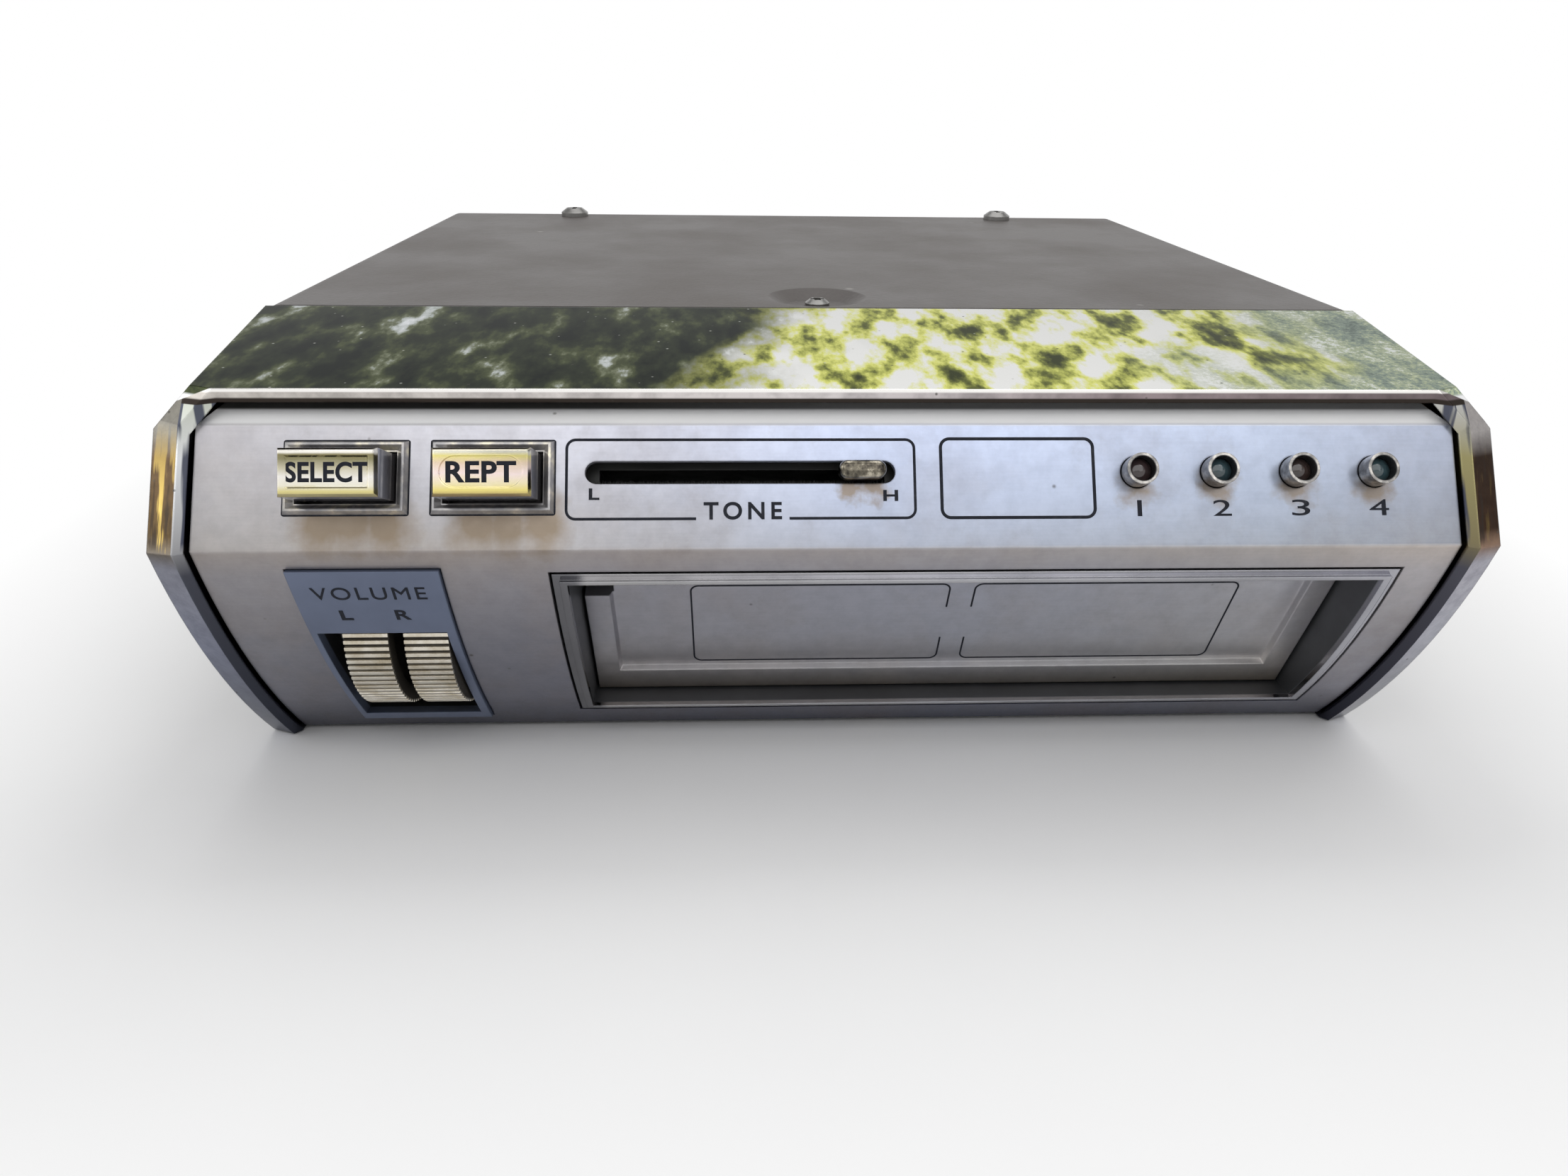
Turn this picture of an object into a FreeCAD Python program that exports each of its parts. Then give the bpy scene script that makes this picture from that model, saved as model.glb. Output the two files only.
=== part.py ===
import FreeCAD, Part
import math
import os

# In-dash style 8-track tape player.  Everything is drawn from the bezel's nose line
# (x = 0 in the middle, y = 0 and z = 0 on the nose, y grows to the rear) and is moved on
# export, so that the origin is the middle of the base and +Z is up.

V = FreeCAD.Vector
ACROSS = V(1, 0, 0)
REARWARD = V(0, 1, 0)
UPWARD = V(0, 0, 1)

# ---- overall, millimetres and degrees
width = 180.0                # outside of the bezel's cheeks
body_depth = 172.0           # nose line to the rear wall's outer face
nose_height = 41.5           # base up to the nose line
top_rise = 22.2              # nose line up to the top cover
half = width / 2.0
fit_gap = 0.3                # between pieces that move past each other
pin_gap = 0.05               # radial, on pins and shafts

# ---- front form
face_lean = 32.5             # upper face, back from the vertical
face_rise = 22.0             # along the upper face, nose to ridge
sweep_radius = 112.0         # bulge of the lower face
sweep_start = 15.0           # its lean at the nose
panel_recess = 1.6           # panel's face behind the bezel's ridge
panel_sheet = 1.0
carrier_wall = 2.6           # moulded carrier behind the panel

# ---- bezel
bezel_depth = 47.5           # nose line to the bezel's rear edge
cheek = 4.8                  # cheek's thickness at the rim
cheek_rear = 2.4             # cheek's and top's wall behind the rim
rim_depth = 4.2              # how far the thick rim reaches back
rim_band = 3.8               # bevelled band outside the ridge
rim_setback = 1.2            # how far that band falls back
rim_bevel_top = 1.6          # band inside the ridge, over the panel
rim_bevel_deep = 0.9         # how far the inner band falls back
corner_front = 4.6           # top corners cut at 45 degrees
corner_rear = 1.4
corner_ridge = 3.9           # the same corners along the ridge
corner_mouth = 3.3           # and inside the rim
corner_mouth_rear = 1.0
cheek_low = -41.2            # underside of the cheeks
panel_half = half - cheek - 0.4

# ---- cover and tray
sheet = 1.0
tray_sheet = 1.2
cover_half = half - 0.3
cover_front = bezel_depth + 0.5
tray_half = cover_half - sheet - 0.1
cover_low = -39.5
cover_corner = 3.0
dish_radius = 8.4            # round dish for the front cover screw
dish_floor = 5.4
dish_drop = 1.5
dish_back = 9.2              # dish centre behind the cover's front edge
rear_screw_x = half - 34.0
rear_screw_inset = 4.0
tray_front = 25.1
tray_wall_top = 8.0
bracket_hole_r = 2.6         # holes for the under-dash bracket's bolts
bracket_front_y = cover_front + 17.0
bracket_hole_pitch = body_depth - 37.0 - bracket_front_y
bracket_hole_y = bracket_front_y + bracket_hole_pitch / 2.0
bracket_hole_z = 0.0
gland_x = 28.0 - half
gland_z = -22.0
gland_hole_r = 6.5
gland_bore_r = 4.0
gland_out = 2.6

# ---- cartridge bay and door
door_frame_width = 0.65 * width
bay_side_room = 7.0          # frame's outside to the cartridge guide's inside
bay_width = door_frame_width - 2 * bay_side_room
bay_x = panel_half - 0.0372 * width - door_frame_width / 2.0  # middle of the door and the cartridge
door_left = bay_x - door_frame_width / 2.0
door_right = bay_x + door_frame_width / 2.0
bay_floor = -33.9
deck_under = -10.2           # underside of the deck over the bay
bay_front = 41.0
guide_sheet = 1.2
guide_foot = 6.4
guide_window_half = 6.0      # lightening windows in the guide's floor
guide_window_front = 8.0
guide_window_rear = 12.0
door_frame_top = -4.4
door_frame_low = -35.4
door_wall = 2.0
door_top_wall = 1.6
door_low_wall = 1.5
door_proud = 0.6             # frame's face above the panel's
flap_lean = 21.5
flap_low_gap = 0.4           # flap's lower edge over the frame's floor
flap_front = 1.6             # flap's face ahead of the pin's axis
flap_back = 0.7
flap_pocket = 0.9
flap_border = 4.0
flap_low_border = 4.8
flap_pin_y = 13.55
flap_pin_z = -8.45
pin_radius = 1.0
barrel_radius = 1.9

# ---- controls on the upper face, s is measured up the face from the crease
button_s = 9.7
select_x = -0.36194 * width
repeat_x = -0.25611 * width
button_width = 12.4
button_height = 6.2
button_out = 7.0
button_travel = 3.0          # down to the stop
button_rim = 1.0
button_dip = 0.35
button_droop = 6.0           # button's axis below the face's normal
surround_width = 16.1
surround_height = 9.9
surround_proud = 1.0
hole_play = 0.35             # round the button in its surround
tone_s = 10.35
tone_slot_length = 0.23 * width
pot_end = 2.5                # slide control past the slot
tone_x = repeat_x + 9.5 + pot_end + tone_slot_length / 2.0
tone_slot_height = 3.1
tone_knob_x = tone_x + 0.389 * tone_slot_length
tone_knob_width = 6.4
tone_knob_height = 2.5
tone_knob_out = 2.6
tone_knob_edge = 0.9
lamp_x = 0.22333 * width
lamp_pitch = 0.06111 * width
lamp_s = 10.25
lamp_radius = 2.15
lamp_wall = 0.45
lamp_out = 2.5
crease_rise = 16.8           # crease up to the panel's top bend
top_bend_lean = 65.0
top_bend_width = 5.0
panel_corner = 2.7           # top corners of the panel

# ---- volume thumbwheels
volume_left = 0.0622 * width - panel_half
volume_right = volume_left + 20.1
volume_top = -3.4
volume_low = -37.2
window_top = -14.8
window_low = -35.4
window_rim = 0.9
wheel_radius = 14.0
wheel_width = 6.3
wheel_y = 21.5
wheel_z = -19.2
left_wheel_x = volume_left + 3.6
right_wheel_x = volume_left + 12.1
wheel_ribs = 84
rib_depth = 0.5
rib_land = 0.26               # half of a rib's top, as a share of the pitch
rib_foot = 0.42
spindle_radius = 3.0
pot_radius = 7.2
pot_length = 0.0533 * width
ear_sheet = 1.2

# ---- tape drive
deck_sheet = 1.2
deck_end = body_depth - 3.0
pillar_radius = 2.6
capstan_x = bay_x + 0.1856 * width
capstan_y = body_depth - 54.5
capstan_radius = 3.2
flywheel_radius = 28.0
flywheel_rise = 8.0
flywheel_low = -4.0
motor_x = -width / 3.0
motor_y = body_depth - 34.0
motor_radius = 16.5
motor_length = 27.0
pulley_radius = 5.2
groove_depth = 0.7
belt_thick = 1.0
belt_height = 3.0
head_width = 12.7
head_height = 12.0
head_face_y = capstan_y - 5.9
head_back_y = head_face_y + 7.9
bay_end = head_face_y - 1.6
head_travel = 2.44           # four pairs of tracks
guide_rod_r = 1.5
guide_rod_y = head_back_y + 3.5
guide_rod_pitch = 26.0
cam_x = bay_x - 29.6
cam_z = -29.3
cam_radius = 6.0
cam_turn = 270.0
cam_y = head_back_y + 0.5
cam_thick = 4.0
ratchet_radius = 9.4
ratchet_thick = 2.0
ratchet_teeth = 12
plunger_x = cam_x - 18.6
plunger_y = cam_y + 5.0
plunger_radius = 2.8
plunger_travel = 3.0
solenoid_width = 12.0
solenoid_top = -23.0

# ---- electronics
board_z = 2.0
board_sheet = 1.6
deck_half = tray_half - 3.6
board_half = deck_half - 7.0
board_front = 46.0
board_rear = capstan_y - flywheel_radius - 5.5
can_row = board_rear - 11.0   # capacitors' axes
can_sizes = ((-0.795, 5.0, 13.0), (-0.628, 4.0, 12.0), (-0.462, 5.0, 13.0), (-0.103, 3.2, 9.0),
             (0.18, 4.0, 12.0), (0.41, 3.2, 9.0), (0.744, 6.0, 13.5))  # share of the board, radius, height
sink_x = half - 46.0
sink_width = 66.0
sink_fins = 9

# ---- details of the pieces above
surround_lip = 0.55          # how much the chrome frames cover the panel's holes
flange_front = -4.2          # button's stop flange, behind the carrier
flange_thick = 1.2
stem_width = 5.0
stem_height = 3.5
stem_reach = button_travel + 11.0
switch_front = button_travel + flange_thick - flange_front + fit_gap + 1.2  # switches behind the face
switch_deep = 8.0
pot_deep = 8.4
pot_half = 3.6
slider_high = 1.6
tone_lift = 0.3              # slider knob above the panel
lamp_back = 9.0
lens_top = 1.6
lens_length = 3.6
lens_dome = 2.6
bulb_radius = 1.2
bulb_pin_r = 0.9
panel_low = -40.4
panel_foot = 4.4
carrier_low = -38.9
carrier_rise = 15.5
carrier_rib = 1.6
carrier_rib_wall = 1.2
wheel_room_top = -10.5       # opening for the wheels in the carrier
door_gap = 0.4               # black gap round the door frame
door_side_gap = 0.5
door_frame_rear = 25.0
spring_room = 4.2
door_coil_r = 1.55
door_wire_r = 0.3
volume_proud = 0.6
window_wall = 0.5
shroud_depth = 5.5
wheel_side_gap = 1.4
dish_wheel = 0.8
spindle_length = pot_length - 0.1
bracket_front = 31.0
screw_hole_r = 1.55
small_screw_r = 1.05
front_screw_head = 2.1
rear_screw_head = 3.4
rear_screw_tall = 2.0
rear_flange = 9.0
bracket_clearance = 0.9      # cover's holes over the tray's
nose_half = half - cheek_rear - 0.3  # tray's narrow front, inside the cheeks
nose_wall_low = -34.0
nose_wall_top = -12.0
tray_notch = 28.2
cheek_screw_y = 42.0
cheek_screw_low = -32.0
cheek_screw_high = -18.0
bridge_screw_x = half - 30.0
bridge_tab_top = 18.7
bridge_tab_half = half - 20.0
boss_radius = 3.2
bridge_rear = 64.0
bridge_leg = 9.0
bridge_low = -4.0
nut_thick = 4.0
nut_radius = 4.6
vent_count = 8
vent_x = -width / 6.0
vent_pitch = 7.0
vent_width = 3.0
vent_y = body_depth - 38.0
vent_length = 26.0
leaf_y = (bay_front + bay_end - 1.0) / 2.0  # leaf spring in the channel's left wall
leaf_half = 20.0
leaf_low = -27.0
leaf_high = -17.0
leaf_sheet = 0.4
leaf_bow = 1.2
deck_front = 44.0
deck_lip = 4.0
pillar_x = deck_half - 4.1
bush_radius = 5.0
motor_boss = 5.0
motor_shaft_r = 1.5
head_low = -29.0
head_nose_r = 12.0
sleeve_radius = 3.2
cam_lead = 25.0
cam_steps = 40
cam_pin_r = 1.6
collar_z = -15.2
collar_radius = 4.4
spring_turns = 5.0
switch_x = capstan_x + 16.5
switch_y = capstan_y + 0.5
switch_low = -33.0
lever_y = switch_y - 2.4
lever_height = 5.0
lever_pin_r = 0.8
sink_low = -9.0
sink_top = 17.0
sink_plate = 3.0
sink_fin_deep = 7.4
choke_x = -width / 4.0
choke_y = board_rear + 18.0
choke_bore = 2.0
choke_flange = 9.0
choke_winding = 7.4
choke_height = 15.0
flywheel_hub_r = 8.0
flywheel_rim = 5.5
flywheel_web = 4.0
edge_break = 0.5
spring_wire = 0.35
spring_sides = 12

# ---- worked out from the above
lean = math.radians(face_lean)
up = V(0, math.sin(lean), math.cos(lean))
out = V(0, -math.cos(lean), math.sin(lean))
start = math.radians(sweep_start)
sweep_centre = V(0, sweep_radius * math.cos(start), sweep_radius * math.sin(start))
ridge = up * face_rise
bezel_slope = (top_rise - ridge.z) / (bezel_depth - ridge.y)
mouth_foot = up * (face_rise - rim_bevel_top) - out * rim_bevel_deep
mouth_drop = ridge.z + bezel_slope * (mouth_foot.y - ridge.y) - mouth_foot.z
rim_bevel_side = cheek - rim_band
rim_half = half - cheek
base_z = -nose_height
tray_floor = base_z + tray_sheet
cover_under = top_rise - sheet
deck_top = deck_under + deck_sheet
carrier_depth = panel_recess + panel_sheet
carrier_back = carrier_depth + carrier_wall
dish_seat = top_rise - dish_drop - sheet
foot_low = cam_z + cam_radius - head_travel + fit_gap


def block(x0, x1, y0, y1, z0, z1):
    return Part.makeBox(x1 - x0, y1 - y0, z1 - z0, V(x0, y0, z0))


def rod(radius, length, foot, direction=UPWARD):
    return Part.makeCylinder(radius, length, foot, direction)


def tube(radius, bore, length, foot, direction=UPWARD):
    return rod(radius, length, foot, direction).cut(rod(bore, length, foot, direction))


def join(shapes):
    whole = shapes[0]
    for shape in shapes[1:]:
        whole = whole.fuse(shape)
    return whole.removeSplitter()


def face_of(edges):
    return Part.Face(Part.Wire(Part.__sortEdges__(edges)))


def side_plate(corners, x0, x1):
    # straight-sided outline in the side view, drawn across from x0 to x1
    points = [V(x0, y, z) for y, z in corners]
    return Part.Face(Part.makePolygon(points + points[:1])).extrude(V(x1 - x0, 0, 0))


def front_plate(corners, y0, y1):
    # straight-sided outline in the front view, drawn back from y0 to y1
    points = [V(x, y0, z) for x, z in corners]
    return Part.Face(Part.makePolygon(points + points[:1])).extrude(V(0, y1 - y0, 0))


def local(origin, across, along, normal, shape):
    # local x, y, z become across, along, normal at the origin
    matrix = FreeCAD.Matrix(
        across.x, along.x, normal.x, origin.x,
        across.y, along.y, normal.y, origin.y,
        across.z, along.z, normal.z, origin.z,
        0, 0, 0, 1)
    moved = shape.copy()
    moved.transformShape(matrix)
    return moved


def slab(cx, cy, w0, h0, w1, h1, z0, z1):
    # rectangle that changes from w0 x h0 at z0 to w1 x h1 at z1
    wires = []
    for w, h, z in ((w0, h0, z0), (w1, h1, z1)):
        points = [V(cx + i * w / 2.0, cy + j * h / 2.0, z)
                  for i, j in ((-1, -1), (1, -1), (1, 1), (-1, 1), (-1, -1))]
        wires.append(Part.makePolygon(points))
    return Part.makeLoft(wires, True, True)


def stadium(cx, cy, length, height, z0, z1):
    r = height / 2.0
    reach = length / 2.0 - r
    middle = block(cx - reach, cx + reach, cy - r, cy + r, z0, z1)
    ends = [rod(r, z1 - z0, V(cx + side * reach, cy, z0)) for side in (-1, 1)]
    return join([middle] + ends)


# ---- the bent front: straight upper face, bulged lower face
def crease(depth):
    foot = out * -depth - sweep_centre
    b = foot.dot(up)
    c = foot.dot(foot) - (sweep_radius - depth) ** 2
    return out * -depth + up * (-b - math.sqrt(b * b - c))


def sweep_point(depth, z):
    radius = sweep_radius - depth
    return V(0, sweep_centre.y - math.sqrt(radius ** 2 - (z - sweep_centre.z) ** 2), z)


def front_line(depth, low_z, rise):
    fold = crease(depth)
    low = sweep_point(depth, low_z)
    middle = sweep_point(depth, (low_z + fold.z) / 2.0)
    top = fold + up * rise
    return [Part.Arc(low, middle, fold).toShape(), Part.LineSegment(fold, top).toShape()], low, top


def front_skin(depth0, depth1, low_z, rise, x0, x1):
    edges0, low0, top0 = front_line(depth0, low_z, rise)
    edges1, low1, top1 = front_line(depth1, low_z, rise)
    ends = [Part.LineSegment(low0, low1).toShape(), Part.LineSegment(top0, top1).toShape()]
    face = face_of(edges0 + edges1 + ends)
    face.translate(V(x0, 0, 0))
    return face.extrude(V(x1 - x0, 0, 0))


def front_outline(depth, low_z, rise, rear_y, x, shift=0.0):
    # closed side outline from the front surface back to rear_y
    edges, low, top = front_line(depth, low_z, rise)
    rest = [top, V(0, rear_y, top.z), V(0, rear_y, low_z), low]
    edges += [Part.LineSegment(a, b).toShape() for a, b in zip(rest, rest[1:])]
    wire = Part.Wire(Part.__sortEdges__(edges))
    wire.translate(V(x, shift, 0))
    return wire


def behind_front(depth, low_z, rise, rear_y, x0, x1):
    return Part.Face(front_outline(depth, low_z, rise, rear_y, x0)).extrude(V(x1 - x0, 0, 0))


def on_face(shape):
    return local(crease(panel_recess), ACROSS, up, out, shape)


button_lean = math.radians(face_lean - button_droop)
button_up = V(0, math.sin(button_lean), math.cos(button_lean))
button_axis = V(0, -math.cos(button_lean), math.sin(button_lean))


def on_button(shape, x):
    origin = crease(panel_recess) + up * button_s + ACROSS * x
    return local(origin, ACROSS, button_up, button_axis, shape)


flap_angle = math.radians(flap_lean)
flap_up = V(0, -math.sin(flap_angle), math.cos(flap_angle))
flap_out = V(0, -math.cos(flap_angle), -math.sin(flap_angle))
flap_foot = door_frame_low + door_low_wall + flap_low_gap
flap_length = (flap_pin_z + flap_front * flap_out.z - flap_foot) / flap_up.z  # pin to the lower edge


def on_flap(shape):
    return local(V(0, flap_pin_y, flap_pin_z), ACROSS, flap_up, flap_out, shape)


def chamfered_tunnel(y0, y1, half0, half1, top0, top1, cut0, cut1, low):
    wires = []
    for y, h, top, cut in ((y0, half0, top0, cut0), (y1, half1, top1, cut1)):
        corners = [(-h, low), (-h, top - cut), (-h + cut, top),
                   (h - cut, top), (h, top - cut), (h, low), (-h, low)]
        wires.append(Part.makePolygon([V(x, y, z) for x, z in corners]))
    return Part.makeLoft(wires, True, True)


def rim_frame(half0, top0, cut0, lift0, half1, top1, cut1, lift1):
    # flared opening with cut corners, square to the upper face
    slant = 1.0 / (math.cos(lean) - bezel_slope * math.sin(lean))
    wires = []
    for h, top, cut, lift in ((half0, top0, cut0, lift0), (half1, top1, cut1, lift1)):
        corners = [(-h, -face_rise), (h, -face_rise), (h, top - cut * slant), (h - cut, top),
                   (cut - h, top), (-h, top - cut * slant), (-h, -face_rise)]
        wires.append(Part.makePolygon([V(x, y, lift) for x, y in corners]))
    return local(V(0, 0, 0), ACROSS, up, out, Part.makeLoft(wires, True, True))


def bezel_tunnel(inset, lower, cut_front, cut_rear):
    # inside or outside of the bezel, rising to the rear, with cut corners
    y0, y1 = ridge.y - 14.0, bezel_depth
    taper = (cut_rear - cut_front) / (bezel_depth - ridge.y)
    tops = [ridge.z + bezel_slope * (y - ridge.y) - lower for y in (y0, y1)]
    cuts = [cut_front + taper * (y - ridge.y) for y in (y0, y1)]
    return chamfered_tunnel(y0, y1, half - inset, half - inset, tops[0], tops[1],
                            cuts[0], cuts[1], cheek_low - 5.0)


def bezel():
    tall = face_rise + 12.0
    rear = bezel_depth + 20.0
    ridge_half = half - rim_band
    split = up * (face_rise / 3.0)
    above = local(split, ACROSS, up, out, block(-width, width, 0, width, -width, width))
    # outside: bevelled bands fall away outside the ridge
    lower = [behind_front(0.0, cheek_low, tall, rear, -ridge_half, ridge_half)]
    for side in (-1, 1):
        wires = [front_outline(depth, cheek_low, tall, rear, side * x)
                 for x, depth in ((ridge_half, 0.0), (half, rim_setback))]
        lower.append(Part.makeLoft(wires, True, True))
    reach = bezel_depth + 30.0
    spread = rim_band / rim_setback * reach
    upper = rim_frame(ridge_half, face_rise, corner_ridge, 0.0, ridge_half + spread,
                      face_rise + spread, corner_ridge + 0.55 * spread, -reach)
    solid = bezel_tunnel(0.0, 0.0, corner_front, corner_rear)
    solid = solid.common(join(lower).cut(above)).fuse(solid.common(upper.common(above)))
    # inside: mouth, its bevel and the hollow behind the rim
    mouth = bezel_tunnel(cheek, mouth_drop, corner_mouth, corner_mouth_rear)
    solid = solid.cut(mouth)
    grow = 2.0
    flare = rim_frame(ridge_half + rim_bevel_side * (grow - 1), face_rise + rim_bevel_top * (grow - 1),
                      corner_ridge + (corner_ridge - corner_mouth) * (grow - 1), rim_bevel_deep * (grow - 1),
                      rim_half, face_rise - rim_bevel_top, corner_mouth, -rim_bevel_deep)
    solid = solid.cut(flare.common(above))
    for side in (-1, 1):
        wires = []
        for x, depth in ((ridge_half, 0.0), (rim_half, rim_bevel_deep)):
            edges0, low0, top0 = front_line(-4.0, cheek_low - 1.0, face_rise)
            edges1, low1, top1 = front_line(depth, cheek_low - 1.0, face_rise)
            ends = [Part.LineSegment(low0, low1).toShape(), Part.LineSegment(top0, top1).toShape()]
            wire = Part.Wire(Part.__sortEdges__(edges0 + edges1 + ends))
            wire.translate(V(side * x, 0, 0))
            wires.append(wire)
        solid = solid.cut(Part.makeLoft(wires, True, True).cut(above))
    pocket = bezel_tunnel(cheek_rear, cheek_rear, corner_mouth, corner_mouth_rear)
    solid = solid.cut(pocket.common(behind_front(rim_depth, cheek_low - 5.0, tall, rear, -half, half)))
    for place in bridge_screw_places():
        boss = rod(boss_radius, top_rise - bridge_tab_top - 1.2, place + V(0, 0, bridge_tab_top))
        solid = solid.fuse(boss).cut(rod(small_screw_r + pin_gap, 1.8, place + V(0, 0, bridge_tab_top)))
    for foot, direction in cheek_screw_places():
        solid = solid.cut(rod(small_screw_r + pin_gap, tray_sheet + 1.8, foot, direction))
    return solid.removeSplitter()


def on_face_slab(x, s, w, h, z0, z1):
    return on_face(slab(x, s, w, h, w, h, z0, z1))


def button_holes():
    w = surround_width - 2 * surround_lip
    h = surround_height - 2 * surround_lip
    return [on_face_slab(x, button_s, w, h, -carrier_back - 1, 3.0) for x in (select_x, repeat_x)]


def lamp_places():
    return [lamp_x + i * lamp_pitch for i in range(4)]


def door_block(grow, y0, y1):
    return block(door_left - grow, door_right + grow, y0, y1, door_frame_low - grow, door_frame_top + grow)


def corner_cuts():
    # top corners of the panel, from its bend line to the edge of the bent band
    high = crease_rise + top_bend_width * math.cos(math.radians(top_bend_lean - face_lean))
    shapes = []
    for side in (-1, 1):
        inner = panel_half - panel_corner
        points = [(panel_half, crease_rise), (inner, high), (inner, 2 * high), (width, 2 * high),
                  (width, crease_rise)]
        wire = Part.makePolygon([V(side * x, rise, -face_rise) for x, rise in points + points[:1]])
        shapes.append(on_face(Part.Face(wire).extrude(V(0, 0, 2 * face_rise))))
    return shapes


def front_panel():
    skin = front_skin(panel_recess, carrier_depth, panel_low, crease_rise, -panel_half, panel_half)
    top0 = crease(panel_recess) + up * crease_rise
    top1 = crease(carrier_depth) + up * crease_rise
    bend = math.radians(top_bend_lean)
    band = V(0, math.sin(bend), math.cos(bend)) * top_bend_width
    inward = V(0, math.cos(bend), -math.sin(bend)) * panel_sheet
    corners = [(p.y, p.z) for p in (top0, top0 + band, top0 + band + inward, top1)]
    foot_y = sweep_point(carrier_depth, panel_low).y - panel_sheet
    shapes = [skin, side_plate(corners, -panel_half, panel_half),
              block(-panel_half, panel_half, foot_y, foot_y + panel_foot, tray_floor, tray_floor + panel_sheet)]
    slot = on_face(stadium(tone_x, tone_s, tone_slot_length, tone_slot_height, -carrier_back, 3.0))
    holes = corner_cuts() + button_holes() + [slot]
    for x in lamp_places():
        holes.append(on_face(rod(lamp_radius + 2 * pin_gap, 12.0, V(x, lamp_s, -9.0))))
    holes.append(block(volume_left - 0.2, volume_right + 0.2, -5.0, 30.0, volume_low - 0.2, volume_top + 0.2))
    holes.append(door_block(door_gap, -5.0, foot_y))
    solid = join(shapes)
    for hole in holes:
        solid = solid.cut(hole)
    return solid


def panel_carrier():
    side = panel_half - 0.8
    skin = front_skin(carrier_depth, carrier_back, carrier_low, carrier_rise, -side, side)
    rib = front_skin(carrier_back, carrier_back + carrier_rib, carrier_low, carrier_rise, -side, side)
    t = carrier_rib_wall
    inner = front_skin(carrier_back, carrier_back + carrier_rib, carrier_low + t,
                       carrier_rise - t, -side + t, side - t)
    solid = join([skin, rib.cut(inner)])
    holes = button_holes()
    holes.append(on_face(stadium(tone_x, tone_s, tone_slot_length + 1, tone_slot_height + 1, -9.0, 0.0)))
    for x in lamp_places():
        holes.append(on_face(rod(lamp_radius + 2 * pin_gap, 12.0, V(x, lamp_s, -9.0))))
    holes.append(block(volume_left + 0.3, volume_right - 0.7, -5.0, 30.0, volume_low + 0.8, wheel_room_top))
    holes.append(door_block(door_gap, -5.0, 40.0))
    for hole in holes:
        solid = solid.cut(hole)
    return solid


def rounded_channel(x_half, top, low, y0, y1, radius):
    # solid with two rounded upper corners, seen from the front
    edge = radius * math.sqrt(0.5)
    p = [V(-x_half, y0, low), V(-x_half, y0, top - radius), V(-x_half + radius, y0, top),
         V(x_half - radius, y0, top), V(x_half, y0, top - radius), V(x_half, y0, low)]
    left = V(-x_half + radius - edge, y0, top - radius + edge)
    right = V(x_half - radius + edge, y0, top - radius + edge)
    edges = [Part.LineSegment(p[0], p[1]).toShape(), Part.Arc(p[1], left, p[2]).toShape(),
             Part.LineSegment(p[2], p[3]).toShape(), Part.Arc(p[3], right, p[4]).toShape(),
             Part.LineSegment(p[4], p[5]).toShape(), Part.LineSegment(p[5], p[0]).toShape()]
    return face_of(edges).extrude(V(0, y1 - y0, 0))


def bracket_holes(radius):
    shapes = []
    for step in (-0.5, 0.5):
        foot = V(-width, bracket_hole_y + step * bracket_hole_pitch, bracket_hole_z)
        shapes.append(rod(radius, 2 * width, foot, ACROSS))
    return shapes


def rear_screw_places():
    return [V(side * rear_screw_x, body_depth - rear_screw_inset, 0) for side in (-1, 1)]


def top_cover():
    outside = rounded_channel(cover_half, top_rise, cover_low, cover_front, body_depth, cover_corner)
    inside = rounded_channel(cover_half - sheet, cover_under, cover_low - 1, cover_front - 1,
                             body_depth + 1, cover_corner - sheet)
    solid = outside.cut(inside)
    centre = V(0, cover_front + dish_back, 0)
    bowl = Part.makeCone(dish_floor, dish_radius, dish_drop, centre + V(0, 0, top_rise - dish_drop))
    under = Part.makeCone(dish_floor + sheet * 0.4, dish_radius + sheet * 0.4, dish_drop,
                          centre + V(0, 0, cover_under - dish_drop))
    solid = join([solid, under]).cut(bowl)
    solid = solid.cut(rod(screw_hole_r, 10.0, centre + V(0, 0, top_rise - 6)))
    for place in rear_screw_places():
        solid = solid.cut(rod(screw_hole_r, 10.0, place + V(0, 0, top_rise - 6)))
    for hole in bracket_holes(bracket_hole_r + bracket_clearance):
        solid = solid.cut(hole)
    return solid


def pan_screw(place, head_r, head_h, length):
    # shank down, domed head up, cross recess
    head = rod(head_r, head_h * 0.5, place).fuse(
        Part.makeCone(head_r, head_r * 0.6, head_h * 0.5, place + V(0, 0, head_h * 0.5)))
    for turn in (0, 1):
        w, d = (0.55, head_r * 0.55)[::1 - 2 * turn]
        head = head.cut(block(place.x - w, place.x + w, place.y - d, place.y + d,
                              place.z + head_h * 0.45, place.z + head_h + 1))
    return head.fuse(rod(screw_hole_r - pin_gap, length, place - V(0, 0, length))).removeSplitter()


def cover_screws():
    front = V(0, cover_front + dish_back, top_rise - dish_drop)
    shapes = [pan_screw(front, front_screw_head, 1.2, 6.0)]
    for place in rear_screw_places():
        shapes.append(pan_screw(place + V(0, 0, top_rise), rear_screw_head, rear_screw_tall, 6.0))
    return Part.makeCompound(shapes)


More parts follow.
